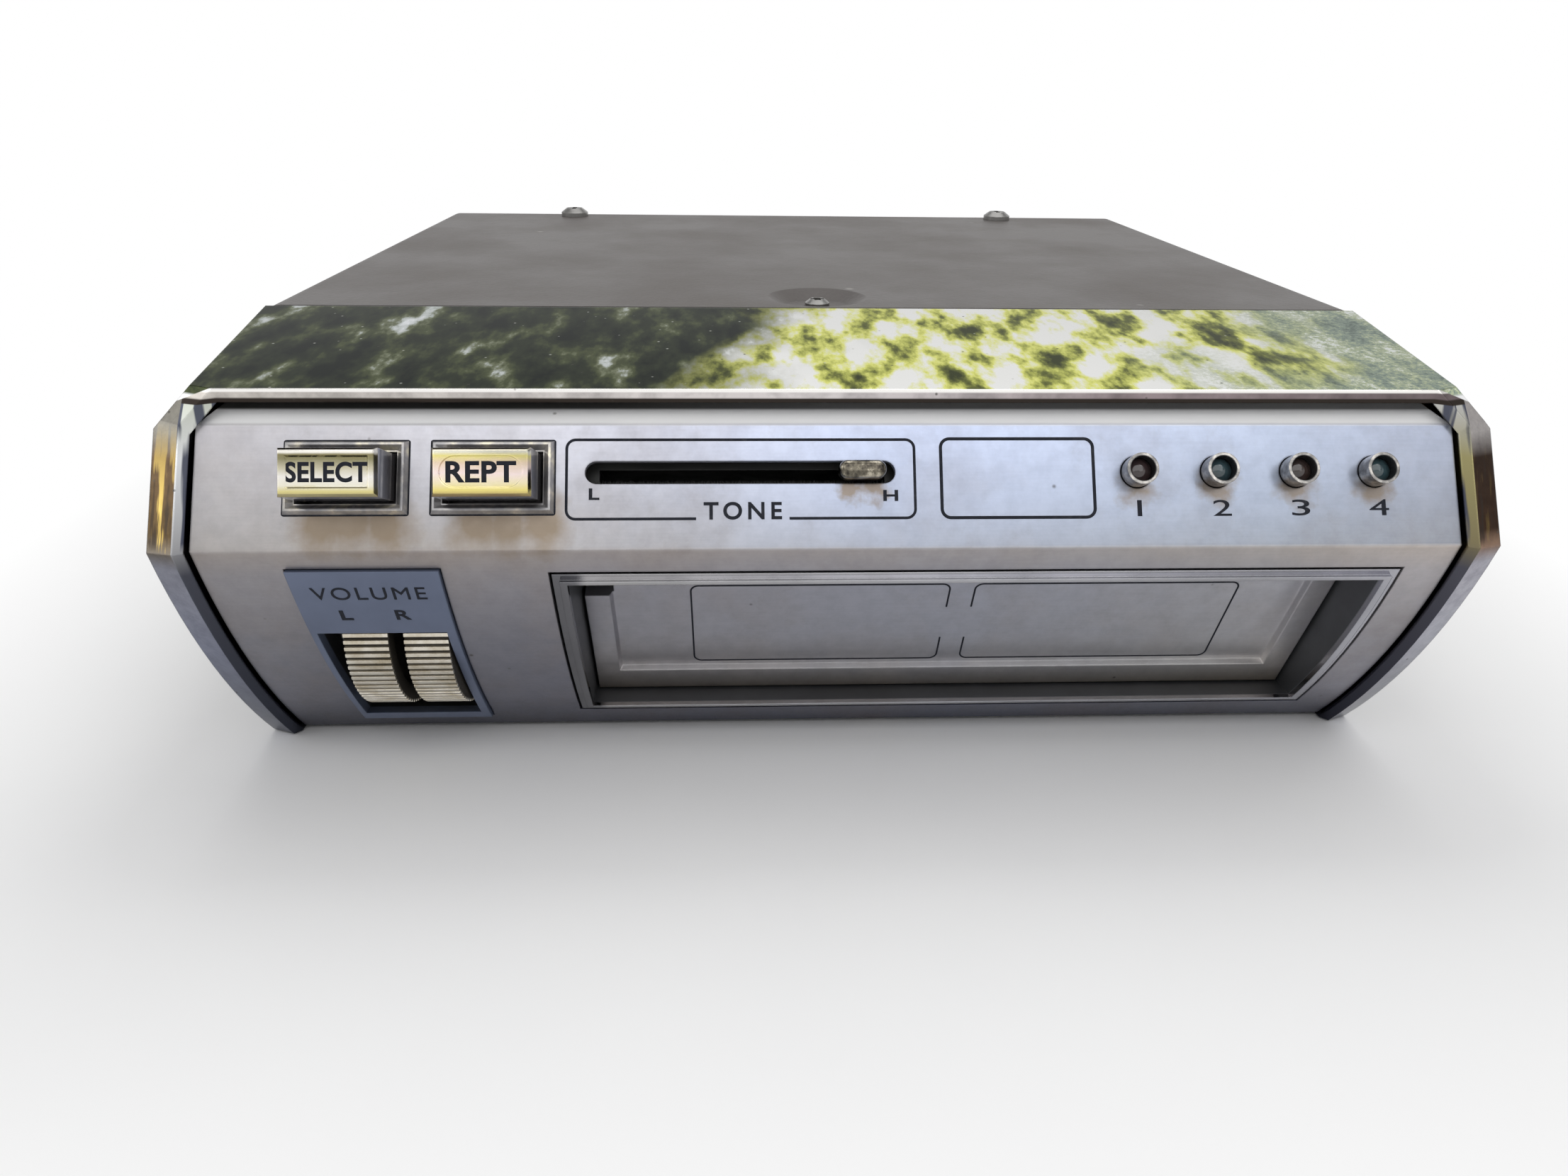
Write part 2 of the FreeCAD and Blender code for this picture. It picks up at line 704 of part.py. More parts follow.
def base_tray():
    wall_z = (tray_floor, tray_wall_top)
    shapes = [
        block(-tray_half, tray_half, cover_front + 0.5, body_depth, base_z, tray_floor),
        block(-nose_half, nose_half, tray_notch, cover_front + 0.6, base_z, tray_floor),
        block(-panel_half + 0.3, panel_half - 0.3, tray_front, tray_notch + 0.1, base_z, tray_floor),
        block(-tray_half, tray_half, body_depth - tray_sheet, body_depth, base_z, cover_under),
        block(-tray_half, tray_half, body_depth - rear_flange, body_depth,
              cover_under - tray_sheet, cover_under)]
    for side in (-1, 1):
        x0, x1 = sorted((side * tray_half, side * (tray_half - tray_sheet)))
        shapes.append(block(x0, x1, cover_front + 0.5, body_depth, *wall_z))
        x0, x1 = sorted((side * nose_half, side * (nose_half - tray_sheet)))
        corners = [(tray_notch, base_z), (tray_notch, nose_wall_low), (tray_notch + 8.0, nose_wall_top),
                   (cover_front + 1.7, nose_wall_top), (cover_front + 1.7, base_z)]
        shapes.append(side_plate(corners, x0, x1))
        x0, x1 = sorted((side * tray_half, side * (nose_half - tray_sheet)))
        shapes.append(block(x0, x1, cover_front + 0.5, cover_front + 1.7, base_z, nose_wall_top))
    solid = join(shapes)
    corner = rounded_channel(tray_half, cover_under, base_z - 1, body_depth - rear_flange - 1,
                             body_depth + 1, cover_corner - sheet)
    edge = block(-width, width, body_depth - rear_flange, body_depth + 1, tray_wall_top + 4, width)
    solid = solid.cut(edge.cut(corner))
    for hole in bracket_holes(bracket_hole_r):
        solid = solid.cut(hole)
    for place in rear_screw_places():
        solid = solid.cut(rod(screw_hole_r, 10.0, place + V(0, 0, cover_under - 6)))
    for foot, direction in cheek_screw_places():
        solid = solid.cut(rod(small_screw_r + pin_gap, 4.0, foot - direction * 2.0, direction))
    for i in range(vent_count):
        x = vent_x + i * vent_pitch
        solid = solid.cut(block(x, x + vent_width, vent_y, vent_y + vent_length, base_z - 1, tray_floor + 1))
        x = sink_x - sink_width / 2.0 + 5.0 + i * vent_pitch
        solid = solid.cut(block(x, x + vent_width, body_depth - 2, body_depth + 1, sink_low + 5, sink_top - 3))
    return solid.cut(rod(gland_hole_r, 5.0, V(gland_x, body_depth - 3, gland_z), REARWARD))


def cheek_screw_places():
    # screw axis foot on the tray's narrow front walls, pointing outward
    places = []
    for side in (-1, 1):
        for z in (cheek_screw_low, cheek_screw_high):
            places.append((V(side * (nose_half - tray_sheet), cheek_screw_y, z), ACROSS * side))
    return places


def bridge_screw_places():
    return [V(side * bridge_screw_x, bezel_depth - 2.5, 0) for side in (-1, 1)]


def bezel_screws():
    shapes = []
    spots = cheek_screw_places()
    spots += [(place + V(0, 0, bridge_tab_top - tray_sheet), UPWARD) for place in bridge_screw_places()]
    for foot, direction in spots:
        head = Part.makeCone(1.4, 2.2, 1.5, foot - direction * 1.5, direction)
        shapes.append(head.fuse(rod(small_screw_r, tray_sheet + 1.5, foot, direction)).removeSplitter())
    return Part.makeCompound(shapes)


def front_bridge():
    top = dish_seat
    tab = bridge_tab_top
    step = cover_front + 1.4
    corners = [(bezel_depth - 5.5, tab - tray_sheet), (step + tray_sheet, tab - tray_sheet),
               (step + tray_sheet, top - tray_sheet), (bridge_rear, top - tray_sheet),
               (bridge_rear, top), (step, top), (step, tab), (bezel_depth - 5.5, tab)]
    reach = tray_half - tray_sheet
    solid = side_plate(corners, -bridge_tab_half, bridge_tab_half)
    shapes = [solid, block(-reach, reach, step, bridge_rear - 2, top - tray_sheet, top)]
    for side in (-1, 1):
        x0, x1 = sorted((side * reach, side * (reach - tray_sheet)))
        shapes.append(block(x0, x1, step + 0.6, step + 0.6 + bridge_leg, bridge_low, top))
    solid = join(shapes)
    solid = solid.cut(rod(screw_hole_r, 12.0, V(0, cover_front + dish_back, top - 6)))
    for place in bridge_screw_places():
        solid = solid.cut(rod(small_screw_r + pin_gap, 8.0, place + V(0, 0, tab - 4)))
    return solid


def side_nuts():
    shapes = []
    for side in (-1, 1):
        x0, x1 = sorted((side * (tray_half - tray_sheet), side * (tray_half - tray_sheet - nut_thick)))
        for step in (-0.5, 0.5):
            y = bracket_hole_y + step * bracket_hole_pitch
            corners = []
            for i in range(6):
                a = math.radians(60 * i + 30)
                corners.append((y + nut_radius * math.cos(a), bracket_hole_z + nut_radius * math.sin(a)))
            nut = side_plate(corners, x0, x1)
            bore = rod(bracket_hole_r - 0.1, nut_thick + 2, V(x0 - 1, y, bracket_hole_z), ACROSS)
            shapes.append(nut.cut(bore))
    return Part.makeCompound(shapes)


# ---- cartridge door
def door_frame():
    outside = door_block(0.0, -5.0, door_frame_rear)
    front = panel_recess - door_proud
    lip = 0.6
    body = outside.common(behind_front(front, door_frame_low - 9, face_rise, door_frame_rear, -width, width))
    edge = outside.cut(door_block(-door_wall / 2.0, -6.0, door_frame_rear + 1))
    body = body.cut(edge.cut(behind_front(front + lip, door_frame_low - 9, face_rise,
                                          door_frame_rear + 1, -width, width)))
    x0, x1 = door_left, door_right
    body = body.cut(block(x0 + door_wall, x1 - door_wall, -6.0, door_frame_rear + 1,
                          door_frame_low + door_low_wall, door_frame_top - door_top_wall))
    body = body.cut(block(x0 - 1, x1 + 1, flap_pin_y + 4.0, door_frame_rear + 1, flap_pin_z + 2.2, 0.0))
    return body.cut(rod(pin_radius + pin_gap, 2 * width, V(-width, flap_pin_y, flap_pin_z), ACROSS))


def flap_ends():
    gap = door_wall + door_side_gap
    return door_left + gap, door_right - gap


def door_flap():
    x0, x1 = flap_ends()
    left = x0 + spring_room
    plate = slab((x0 + x1) / 2.0, -flap_length / 2.0, x1 - x0, flap_length, x1 - x0, flap_length,
                 -flap_back, flap_front)
    barrel = rod(barrel_radius, x1 - left, V(left, 0, 0), ACROSS)
    solid = plate.fuse(barrel)
    low = flap_length - flap_low_border
    high = barrel_radius + 0.3
    mid = ((x0 + x1) / 2.0, -(low + high) / 2.0)
    wide, tall = x1 - x0 - 2 * flap_border, low - high
    solid = solid.cut(slab(mid[0], mid[1], wide, tall, wide + 0.8, tall + 0.8,
                           flap_front - flap_pocket, flap_front + 0.01))
    solid = solid.cut(block(x0 - 1, left, -spring_room, 4.0, -4.0, 4.0))
    solid = solid.cut(rod(pin_radius + pin_gap, 2 * width, V(-width, 0, 0), ACROSS))
    ribs = [block(x0 + 8 + i * (x1 - x0 - 17) / 3.0, x0 + 9 + i * (x1 - x0 - 17) / 3.0,
                  -flap_length + 2, -barrel_radius, -flap_back - 1.0, -flap_back) for i in range(4)]
    return on_flap(join([solid] + ribs))


def door_hinge_pin():
    x0, x1 = door_left + fit_gap, door_right - fit_gap
    return rod(pin_radius, x1 - x0, V(x0, flap_pin_y, flap_pin_z), ACROSS)


def coil(radius, wire, pitch, turns, foot, direction):
    # helical spring; its round wire is drawn with many narrow sides
    path = Part.makeHelix(pitch, pitch * turns, radius)
    angles = [2 * math.pi * i / spring_sides for i in range(spring_sides)]
    points = [V(radius + wire * math.cos(a), 0, wire * math.sin(a)) for a in angles]
    ring = Part.makePolygon(points + points[:1])
    shape = Part.Wire(path.Edges).makePipeShell([ring], True, True)
    shape.Placement = FreeCAD.Placement(foot, FreeCAD.Rotation(UPWARD, direction))
    return shape


def door_spring():
    x0 = flap_ends()[0] + 0.5
    wound = coil(door_coil_r, door_wire_r, (spring_room - 1.2) / 4.0, 4.0, V(x0, 0, 0), ACROSS)
    leg_x = x0 + spring_room - 1.2
    leg = rod(door_wire_r, flap_length / 3.0, V(leg_x, 0, -door_coil_r), V(0, -1, 0.05))
    return on_flap(Part.makeCompound([wound, leg]))


# ---- volume controls
def lower_skin(depth0, depth1, z0, z1, x0, x1):
    # sheet on the bulged lower face between two heights
    return front_skin(depth0, depth1, z0 - 3.0, 1.0, x0, x1).common(block(x0, x1, -9.0, 60.0, z0, z1))


def volume_plate():
    front = panel_recess - volume_proud
    plate = lower_skin(front, carrier_depth, volume_low, volume_top, volume_left, volume_right)
    w0 = volume_left + window_rim
    w1 = volume_right - window_rim - 0.4
    plate = plate.cut(block(w0, w1, -9.0, 60.0, window_low, window_top))
    shapes = [plate]
    wall = window_wall
    for x0, x1 in ((w0 - wall, w0), (w1, w1 + wall)):
        shapes.append(lower_skin(carrier_depth, shroud_depth, window_low - wall, window_top, x0, x1))
    shapes.append(lower_skin(carrier_depth, shroud_depth, window_low - wall, window_low, w0 - wall, w1 + wall))
    return join(shapes)


def volume_wheel(x0, side):
    # ribbed wheel with a spindle on the side of its control
    points = []
    step = 2 * math.pi / wheel_ribs
    for i in range(wheel_ribs):
        for share, r in ((-rib_foot, wheel_radius - rib_depth), (-rib_land, wheel_radius),
                         (rib_land, wheel_radius), (rib_foot, wheel_radius - rib_depth)):
            a = (i + share) * step
            points.append(V(x0, wheel_y + r * math.cos(a), wheel_z + r * math.sin(a)))
    solid = Part.Face(Part.makePolygon(points + points[:1])).extrude(V(wheel_width, 0, 0))
    centre = V(x0, wheel_y, wheel_z)
    far = x0 + wheel_width if side < 0 else x0
    ring = tube(wheel_radius - 2.6, spindle_radius + 1.6, dish_wheel * 2,
                V(far - dish_wheel, wheel_y, wheel_z), ACROSS)
    solid = solid.cut(ring)
    foot = centre if side < 0 else centre + ACROSS * wheel_width
    return solid.fuse(rod(spindle_radius, spindle_length, foot, ACROSS * side)).removeSplitter()


def ear_spans():
    left = left_wheel_x - wheel_side_gap - ear_sheet
    right = right_wheel_x + wheel_width + wheel_side_gap
    return (left, left + ear_sheet), (right, right + ear_sheet)


def volume_bracket():
    back = bracket_front + 9.0
    top = wheel_z + pot_radius + 3.0
    corners = [(wheel_y - 7.5, top), (wheel_y + pot_radius, top), (back - 4.0, -30.0), (back, tray_floor),
               (bracket_front, tray_floor), (bracket_front, tray_floor + 3.3), (wheel_y - 2.7, wheel_z - 6.8),
               (wheel_y - 7.5, wheel_z + 3.2)]
    left, right = ear_spans()
    shapes = [side_plate(corners, *left), side_plate(corners, *right),
              block(left[0], right[1], bracket_front, back, tray_floor, tray_floor + ear_sheet)]
    shapes.append(block(left[0], right[1], back - ear_sheet, back, tray_floor, tray_floor + 3.0))
    bore = rod(spindle_radius + pin_gap, 2 * width, V(-width, wheel_y, wheel_z), ACROSS)
    return join(shapes).cut(bore)


def volume_pots():
    left, right = ear_spans()
    shapes = []
    for x, side in ((left[0], -1), (right[1], 1)):
        foot = V(x, wheel_y, wheel_z)
        can = rod(pot_radius, pot_length, foot, ACROSS * side)
        wafer = block(*sorted((x, x + side * 1.6)), wheel_y, wheel_y + pot_radius + 5.0,
                      wheel_z - 5.0, wheel_z + 5.0)
        can = can.fuse(wafer)
        for i in (-1, 0, 1):
            pin = block(*sorted((x + side * 0.5, x + side * 1.1)), wheel_y + pot_radius + 4.9,
                        wheel_y + pot_radius + 8.5, wheel_z + 3 * i - 0.7, wheel_z + 3 * i + 0.7)
            can = can.fuse(pin)
        bore = rod(spindle_radius + pin_gap, spindle_length - wheel_side_gap, foot, ACROSS * side)
        shapes.append(can.cut(bore))
    return Part.makeCompound(shapes)


# ---- push buttons
def button_surround(x):
    w, h = surround_width, surround_height
    lip = surround_lip
    frame = slab(x, button_s, w, h, w - 0.8, h - 0.8, 0.0, surround_proud)
    collar = slab(x, button_s, w - 2 * lip - 0.1, h - 2 * lip - 0.1,
                  w - 2 * lip - 0.1, h - 2 * lip - 0.1, panel_recess - carrier_back, 0.0)
    solid = on_face(frame.fuse(collar))
    w, h = button_width + 2 * hole_play, button_height + 2 * hole_play
    bore = slab(0, 0, w, h, w, h, -12.0, 12.0)
    solid = solid.cut(on_button(bore, x))
    flare = slab(x, button_s, w + 0.2, h + 0.4, w + 1.6, h + 1.6, surround_proud - 0.8, surround_proud + 0.01)
    return solid.cut(on_face(flare)).removeSplitter()


def push_button(x, square):
    w, h = button_width, button_height
    neck = button_out - 0.7
    cap = slab(0, 0, w, h, w, h, flange_front, neck)
    nose = slab(0, 0, w, h, w - 0.7, h - 0.7, neck, button_out)
    flange = slab(0, 0, w + 2.2, h + 2.2, w + 2.2, h + 2.2, flange_front - flange_thick, flange_front)
    stem = slab(0, 0, stem_width, stem_height, stem_width, stem_height, -stem_reach, flange_front)
    solid = join([cap, nose, flange, stem])
    if square:
        w, h = w - 2 * button_rim, h - 2 * button_rim
        solid = solid.cut(slab(0, 0, w - 0.5, h - 0.5, w, h, button_out - button_dip, button_out + 0.01))
    else:
        solid = solid.cut(stadium(0, 0, w - 2 * button_rim, h - 2 * button_rim - 0.2,
                                  button_out - button_dip, button_out + 0.1))
    return on_button(solid, x)


def switch_bracket():
    front = -switch_front
    plates = []
    mid = (select_x + repeat_x) / 2.0
    reach = (repeat_x - select_x) / 2.0 + button_width / 2.0 + 1.1 + 0.4 + ear_sheet
    plates.append(slab(mid, 0.8, 2 * reach, 10.0, 2 * reach, 10.0, front, front + ear_sheet))
    for x in (mid - reach + 0.6, mid, mid + reach - 0.6):
        plates.append(slab(x, 0.4, ear_sheet, 6.8, ear_sheet, 6.8, front, 0.0))
    solid = on_button(join(plates), 0.0)
    solid = solid.common(behind_front(carrier_back, -30.0, carrier_rise + 9.0, 60.0, -width, width))
    for x in (select_x, repeat_x):
        w, h = stem_width + 1.0, stem_height + 1.0
        solid = solid.cut(on_button(slab(0, 0, w, h, w, h, -30.0, -4.0), x))
    return solid


def button_switches():
    shapes = []
    for x in (select_x, repeat_x):
        body = slab(0, 1.0, 13.0, 9.0, 13.0, 9.0, -switch_front - switch_deep, -switch_front)
        w, h = stem_width + 0.6, stem_height + 0.6
        body = body.cut(slab(0, 0, w, h, w, h, -switch_front - switch_deep + 0.6, -switch_front + 1))
        for i in (-1, 0, 1):
            body = body.fuse(block(4 * i - 0.6, 4 * i + 0.6, 3.6, 4.2, -switch_front - switch_deep - 3.0,
                                   -switch_front - switch_deep + 0.3))
        shapes.append(on_button(body, x))
    return Part.makeCompound(shapes)


# ---- tone slider
def slide_pot():
    back = panel_recess - carrier_back
    x0 = tone_x - tone_slot_length / 2.0 - pot_end
    x1 = tone_x + tone_slot_length / 2.0 + pot_end + 5.0
    low = tone_s - pot_half - 1.2
    body = block(x0, x1, low, tone_s + pot_half, back - pot_deep, back)
    ear = block(x0 + 1.0, x0 + 7.0, low - 3.2, low, back - 1.0, back)
    ear = ear.fuse(block(x1, x1 + 5.0, tone_s - 3.0, tone_s + 3.0, back - 1.0, back))
    channel = block(tone_x - tone_slot_length / 2.0 + 1.5, tone_x + tone_slot_length / 2.0 - 1.0,
                    tone_s - slider_high / 2.0 - 0.3, tone_s + slider_high / 2.0 + 0.3,
                    back - pot_deep + 1.2, back + 1)
    solid = body.fuse(ear).cut(channel)
    for x, s in ((x0 + 4.0, low - 1.7), (x1 + 2.6, tone_s)):
        solid = solid.cut(rod(1.0, 4.0, V(x, s, back - 2)))
    for x in (x0 + 3.0, x1 - 3.0, x1 - 6.0):
        solid = solid.fuse(block(x - 0.5, x + 0.5, tone_s + 1.0, tone_s + 1.6, back - pot_deep - 3.0,
                                 back - pot_deep + 0.2))
    return on_face(solid.removeSplitter())


def tone_knob():
    # rounded capsule on a flat stem that drives the slide control
    cap = stadium(tone_knob_x, tone_s, tone_knob_width, tone_knob_height, tone_lift, tone_knob_out)
    top = [edge for edge in cap.Edges if edge.BoundBox.ZMin > tone_knob_out - 0.01]
    cap = cap.makeFillet(tone_knob_edge, top)
    stem = block(tone_knob_x - 1.0, tone_knob_x + 1.0, tone_s - slider_high / 2.0,
                 tone_s + slider_high / 2.0, panel_recess - carrier_back - pot_deep + 1.8, tone_lift)
    return on_face(cap.fuse(stem).removeSplitter())


# ---- program lamps
def lamp_tubes():
    shapes = []
    for x in lamp_places():
        shapes.append(on_face(tube(lamp_radius, lamp_radius - lamp_wall, lamp_back + lamp_out,
                                   V(x, lamp_s, -lamp_back))))
    return Part.makeCompound(shapes)


def program_lenses():
    shapes = []
    r = lamp_radius - lamp_wall - pin_gap
    for x in lamp_places():
        foot = V(x, lamp_s, lens_top - lens_length)
        dome = Part.makeSphere(lens_dome, V(x, lamp_s, lens_top - lens_dome))
        core = dome.fuse(rod(r, lens_length - 0.9, foot))
        shapes.append(on_face(rod(r, lens_length, foot).common(core)))
    return Part.makeCompound(shapes)


def lamp_bulbs():
    shapes = []
    for x in lamp_places():
        foot = V(x, lamp_s, bulb_radius - lamp_back)
        glass = rod(bulb_radius, 3.2, foot).fuse(Part.makeSphere(bulb_radius, foot + V(0, 0, 3.2)))
        pin = rod(bulb_pin_r, 2.4, foot - V(0, 0, 1.8))
        shapes.append(on_face(glass.fuse(pin).removeSplitter()))
    return Part.makeCompound(shapes)


def lamp_holder():
    x0 = lamp_x - 6.2
    x1 = lamp_x + 3 * lamp_pitch + 6.2
    low = lamp_s - 4.0
    back = -lamp_back
    shapes = [block(x0, x1, low, lamp_s + 4.0, back - 1.8, back)]
    for x in (x0, x1 - 2.4):
        shapes.append(block(x, x + 2.4, lamp_s - 3.0, lamp_s + 3.0, back, panel_recess - carrier_back))
    solid = join(shapes)
    for x in lamp_places():
        solid = solid.cut(rod(bulb_pin_r + pin_gap, 4.0, V(x, lamp_s, back - 3)))
    return on_face(solid)


# ---- cartridge channel
def bay_sides():
    return bay_x - bay_width / 2.0, bay_x + bay_width / 2.0


def cartridge_guide():
    x0, x1 = bay_sides()
    t = guide_sheet
    floor = block(x0 - t, x1 + t, door_frame_rear + 0.5, bay_end, bay_floor - t, bay_floor)
    shapes = [floor]
    for a, b, foot in ((x0 - t, x0, (x0 - guide_foot, x0)), (x1, x1 + t, (x1, x1 + guide_foot))):
        shapes.append(block(a, b, bay_front, bay_end + 2, tray_floor, deck_under))
        shapes.append(block(foot[0], foot[1], bay_front, bay_end + 2, tray_floor, tray_floor + t))
    solid = join(shapes)
    window = block(x0 - 9, x0 + 0.1, leaf_y - leaf_half, leaf_y + leaf_half, leaf_low - 1, leaf_high + 1)
    solid = solid.cut(window)
    lead = side_plate([(door_frame_rear, bay_floor - 0.6), (door_frame_rear + 0.5, bay_floor - 0.6),
                       (door_frame_rear + 2.5, bay_floor + 1), (door_frame_rear, bay_floor + 1)],
                      x0 - 2, x1 + 2)
    for x in (x0 + bay_width * 0.25, x0 + bay_width * 0.75):
        solid = solid.cut(block(x - guide_window_half, x + guide_window_half, bay_front + guide_window_front,
                                bay_end - guide_window_rear, bay_floor - t - 1, bay_floor + 1))
    return solid.cut(lead)


def cartridge_spring():
    x0 = bay_sides()[0] - guide_sheet
    t = leaf_sheet
    y0, y1 = leaf_y - leaf_half - 5.0, leaf_y + leaf_half + 5.0
    bow = guide_sheet + leaf_bow
    line = [(x0, y0), (x0, leaf_y - leaf_half), (x0 + bow, leaf_y - 4), (x0 + bow, leaf_y + 4),
            (x0, leaf_y + leaf_half), (x0, y1)]
    points = line + [(x - t, y) for x, y in line[::-1]]
    wire = Part.makePolygon([V(x, y, leaf_low) for x, y in points + points[:1]])
    return Part.Face(wire).extrude(V(0, 0, leaf_high - leaf_low))


# ---- deck and tape drive
def pillar_places():
    return [V(side * pillar_x, y, 0) for side in (-1, 1) for y in (deck_front + 6.0, deck_end - 14.0)]


def rod_places():
    return [V(bay_x + side * guide_rod_pitch / 2.0, guide_rod_y, 0) for side in (-1, 1)]


def deck_plate():
    solid = block(-deck_half, deck_half, deck_front, deck_end, deck_under, deck_top)
    holes = [(V(capstan_x, capstan_y, 0), bush_radius + pin_gap), (V(motor_x, motor_y, 0), motor_boss + 0.2)]
    holes += [(p, guide_rod_r + pin_gap) for p in rod_places()]
    holes += [(p, screw_hole_r) for p in pillar_places()]
    for place, radius in holes:
        solid = solid.cut(rod(radius, 5.0, place + V(0, 0, deck_under - 2)))
    for side in (-1, 1):
        x0, x1 = sorted((side * deck_half, side * (deck_half - deck_sheet)))
        solid = solid.fuse(block(x0, x1, deck_front, deck_end, deck_top, deck_top + deck_lip))
    return solid.removeSplitter()


def deck_pillars():
    length = deck_under - tray_floor
    return Part.makeCompound([tube(pillar_radius, small_screw_r + pin_gap, length, p + V(0, 0, tray_floor))
                              for p in pillar_places()])


def deck_screws():
    shapes = []
    for place in pillar_places():
        top = place + V(0, 0, deck_top)
        head = Part.makeCone(2.4, 1.6, 1.6, top)
        shapes.append(head.fuse(rod(small_screw_r, 7.0, top - V(0, 0, 7.0))).removeSplitter())
    return Part.makeCompound(shapes)


def revolved(points, x, y):
    # profile of (radius, z) turned about the upright axis at x, y
    wire = Part.makePolygon([V(x + r, y, z) for r, z in points + points[:1]])
    return Part.Face(wire).revolve(V(x, y, 0), UPWARD, 360)


def thrust_bearing():
    bore = capstan_radius + pin_gap
    seat = tray_floor + 1.7
    profile = [(0.0, tray_floor), (9.0, tray_floor), (9.0, seat), (6.0, seat + 0.6),
               (6.0, seat + 4.0), (bore, seat + 4.0), (bore, seat), (0.0, seat)]
    return revolved(profile, capstan_x, capstan_y)


def capstan_bush():
    bore = capstan_radius + pin_gap
    r = bush_radius
    profile = [(bore, deck_under - 3.0), (r, deck_under - 3.0), (r, deck_top), (r + 2.0, deck_top),
               (r + 2.0, deck_top + 1.4), (bore, deck_top + 1.4)]
    return revolved(profile, capstan_x, capstan_y)


def capstan_shaft():
    low = tray_floor + 1.8
    high = flywheel_low + flywheel_rise + 1.5
    shaft = rod(capstan_radius, high - low, V(capstan_x, capstan_y, low))
    return shaft.makeChamfer(0.5, [e for e in shaft.Edges if e.Closed])


def flywheel():
    low, high = flywheel_low, flywheel_low + flywheel_rise
    r = flywheel_radius
    middle = (low + high) / 2.0
    groove = belt_height / 2.0 + 0.3
    hub, rim, web, nick = flywheel_hub_r, flywheel_rim, flywheel_web / 2.0, edge_break
    profile = [(capstan_radius, low - web), (hub, low - web), (hub, middle - web),
               (r - rim - 1.5, middle - web), (r - rim, low), (r - nick, low), (r, low + nick),
               (r, middle - groove), (r - groove_depth, middle - groove), (r - groove_depth, middle + groove),
               (r, middle + groove), (r, high - nick), (r - nick, high), (r - rim, high),
               (r - rim - 1.5, middle + web), (hub, middle + web), (hub, high + nick),
               (capstan_radius, high + nick)]
    return revolved(profile, capstan_x, capstan_y)


def motor():
    body = rod(motor_radius, motor_length, V(motor_x, motor_y, deck_under - motor_length))
    body = body.makeChamfer(1.2, [e for e in body.Edges if e.Closed])
    boss = rod(motor_boss, deck_sheet + 1.0, V(motor_x, motor_y, deck_under - 0.1))
    ring = tube(motor_radius + 1, motor_radius - 0.5, 1.2, V(motor_x, motor_y, deck_under - 9.0))
    solid = body.fuse(boss).cut(ring)
    for side in (-1, 1):
        lug = block(motor_x + side * 5 - 1.5, motor_x + side * 5 + 1.5, motor_y - 1, motor_y + 1,
                    deck_under - motor_length - 2.0, deck_under - motor_length + 0.1)
        solid = solid.fuse(lug)
    bore = rod(motor_shaft_r + pin_gap, 20.0, V(motor_x, motor_y, deck_under - 10.0))
    return solid.cut(bore).removeSplitter()


def motor_pulley():
    low, high = flywheel_low, flywheel_low + flywheel_rise
    r = pulley_radius
    middle = (low + high) / 2.0
    groove = belt_height / 2.0 + 0.3
    profile = [(0.0, deck_under - 9.0), (motor_shaft_r, deck_under - 9.0), (motor_shaft_r, low),
               (r, low), (r, middle - groove), (r - groove_depth, middle - groove),
               (r - groove_depth, middle + groove), (r, middle + groove), (r, high - 0.8),
               (r - 0.8, high), (motor_shaft_r, high), (motor_shaft_r, high + 1.0), (0.0, high + 1.0)]
    return revolved(profile, motor_x, motor_y)


def belt_outline(extra):
    # outside of a loop round both pulleys
    a = V(motor_x, motor_y, 0)
    b = V(capstan_x, capstan_y, 0)
    ra = pulley_radius - groove_depth + fit_gap + extra
    rb = flywheel_radius - groove_depth + fit_gap + extra
    run = b - a
    heading = math.atan2(run.y, run.x)
    tilt = math.acos((ra - rb) / run.Length)

    def spot(centre, radius, angle):
        return centre + V(radius * math.cos(angle), radius * math.sin(angle), 0)

    low, high = heading - tilt, heading + tilt
    a0, a1 = spot(a, ra, high), spot(a, ra, low)
    b0, b1 = spot(b, rb, high), spot(b, rb, low)
    edges = [Part.Arc(a0, spot(a, ra, heading + math.pi), a1).toShape(), Part.LineSegment(a1, b1).toShape(),
             Part.Arc(b1, spot(b, rb, heading), b0).toShape(), Part.LineSegment(b0, a0).toShape()]
    return face_of(edges)


def drive_belt():
    ring = belt_outline(belt_thick).cut(belt_outline(0.0))
    ring.translate(V(0, 0, flywheel_low + (flywheel_rise - belt_height) / 2.0))
    return ring.extrude(V(0, 0, belt_height))


def tape_head():
    x0, x1 = bay_x - head_width / 2.0, bay_x + head_width / 2.0
    shell = block(x0, x1, head_face_y, head_back_y, head_low, head_low + head_height)
    nose = rod(head_nose_r, head_height, V(bay_x, head_face_y + head_nose_r, head_low))
    solid = shell.common(nose)
    guide = block(x0 + 1.2, x1 - 1.2, head_face_y - 1, head_face_y + 3, head_low + 2.0,
                  head_low + head_height - 2.0)
    gaps = [guide.common(block(x - 0.4, x + 0.4, 0, width, -width, 0)) for x in (x0 + 2.2, x1 - 2.2)]
    return solid.cut(gaps[0]).cut(gaps[1])


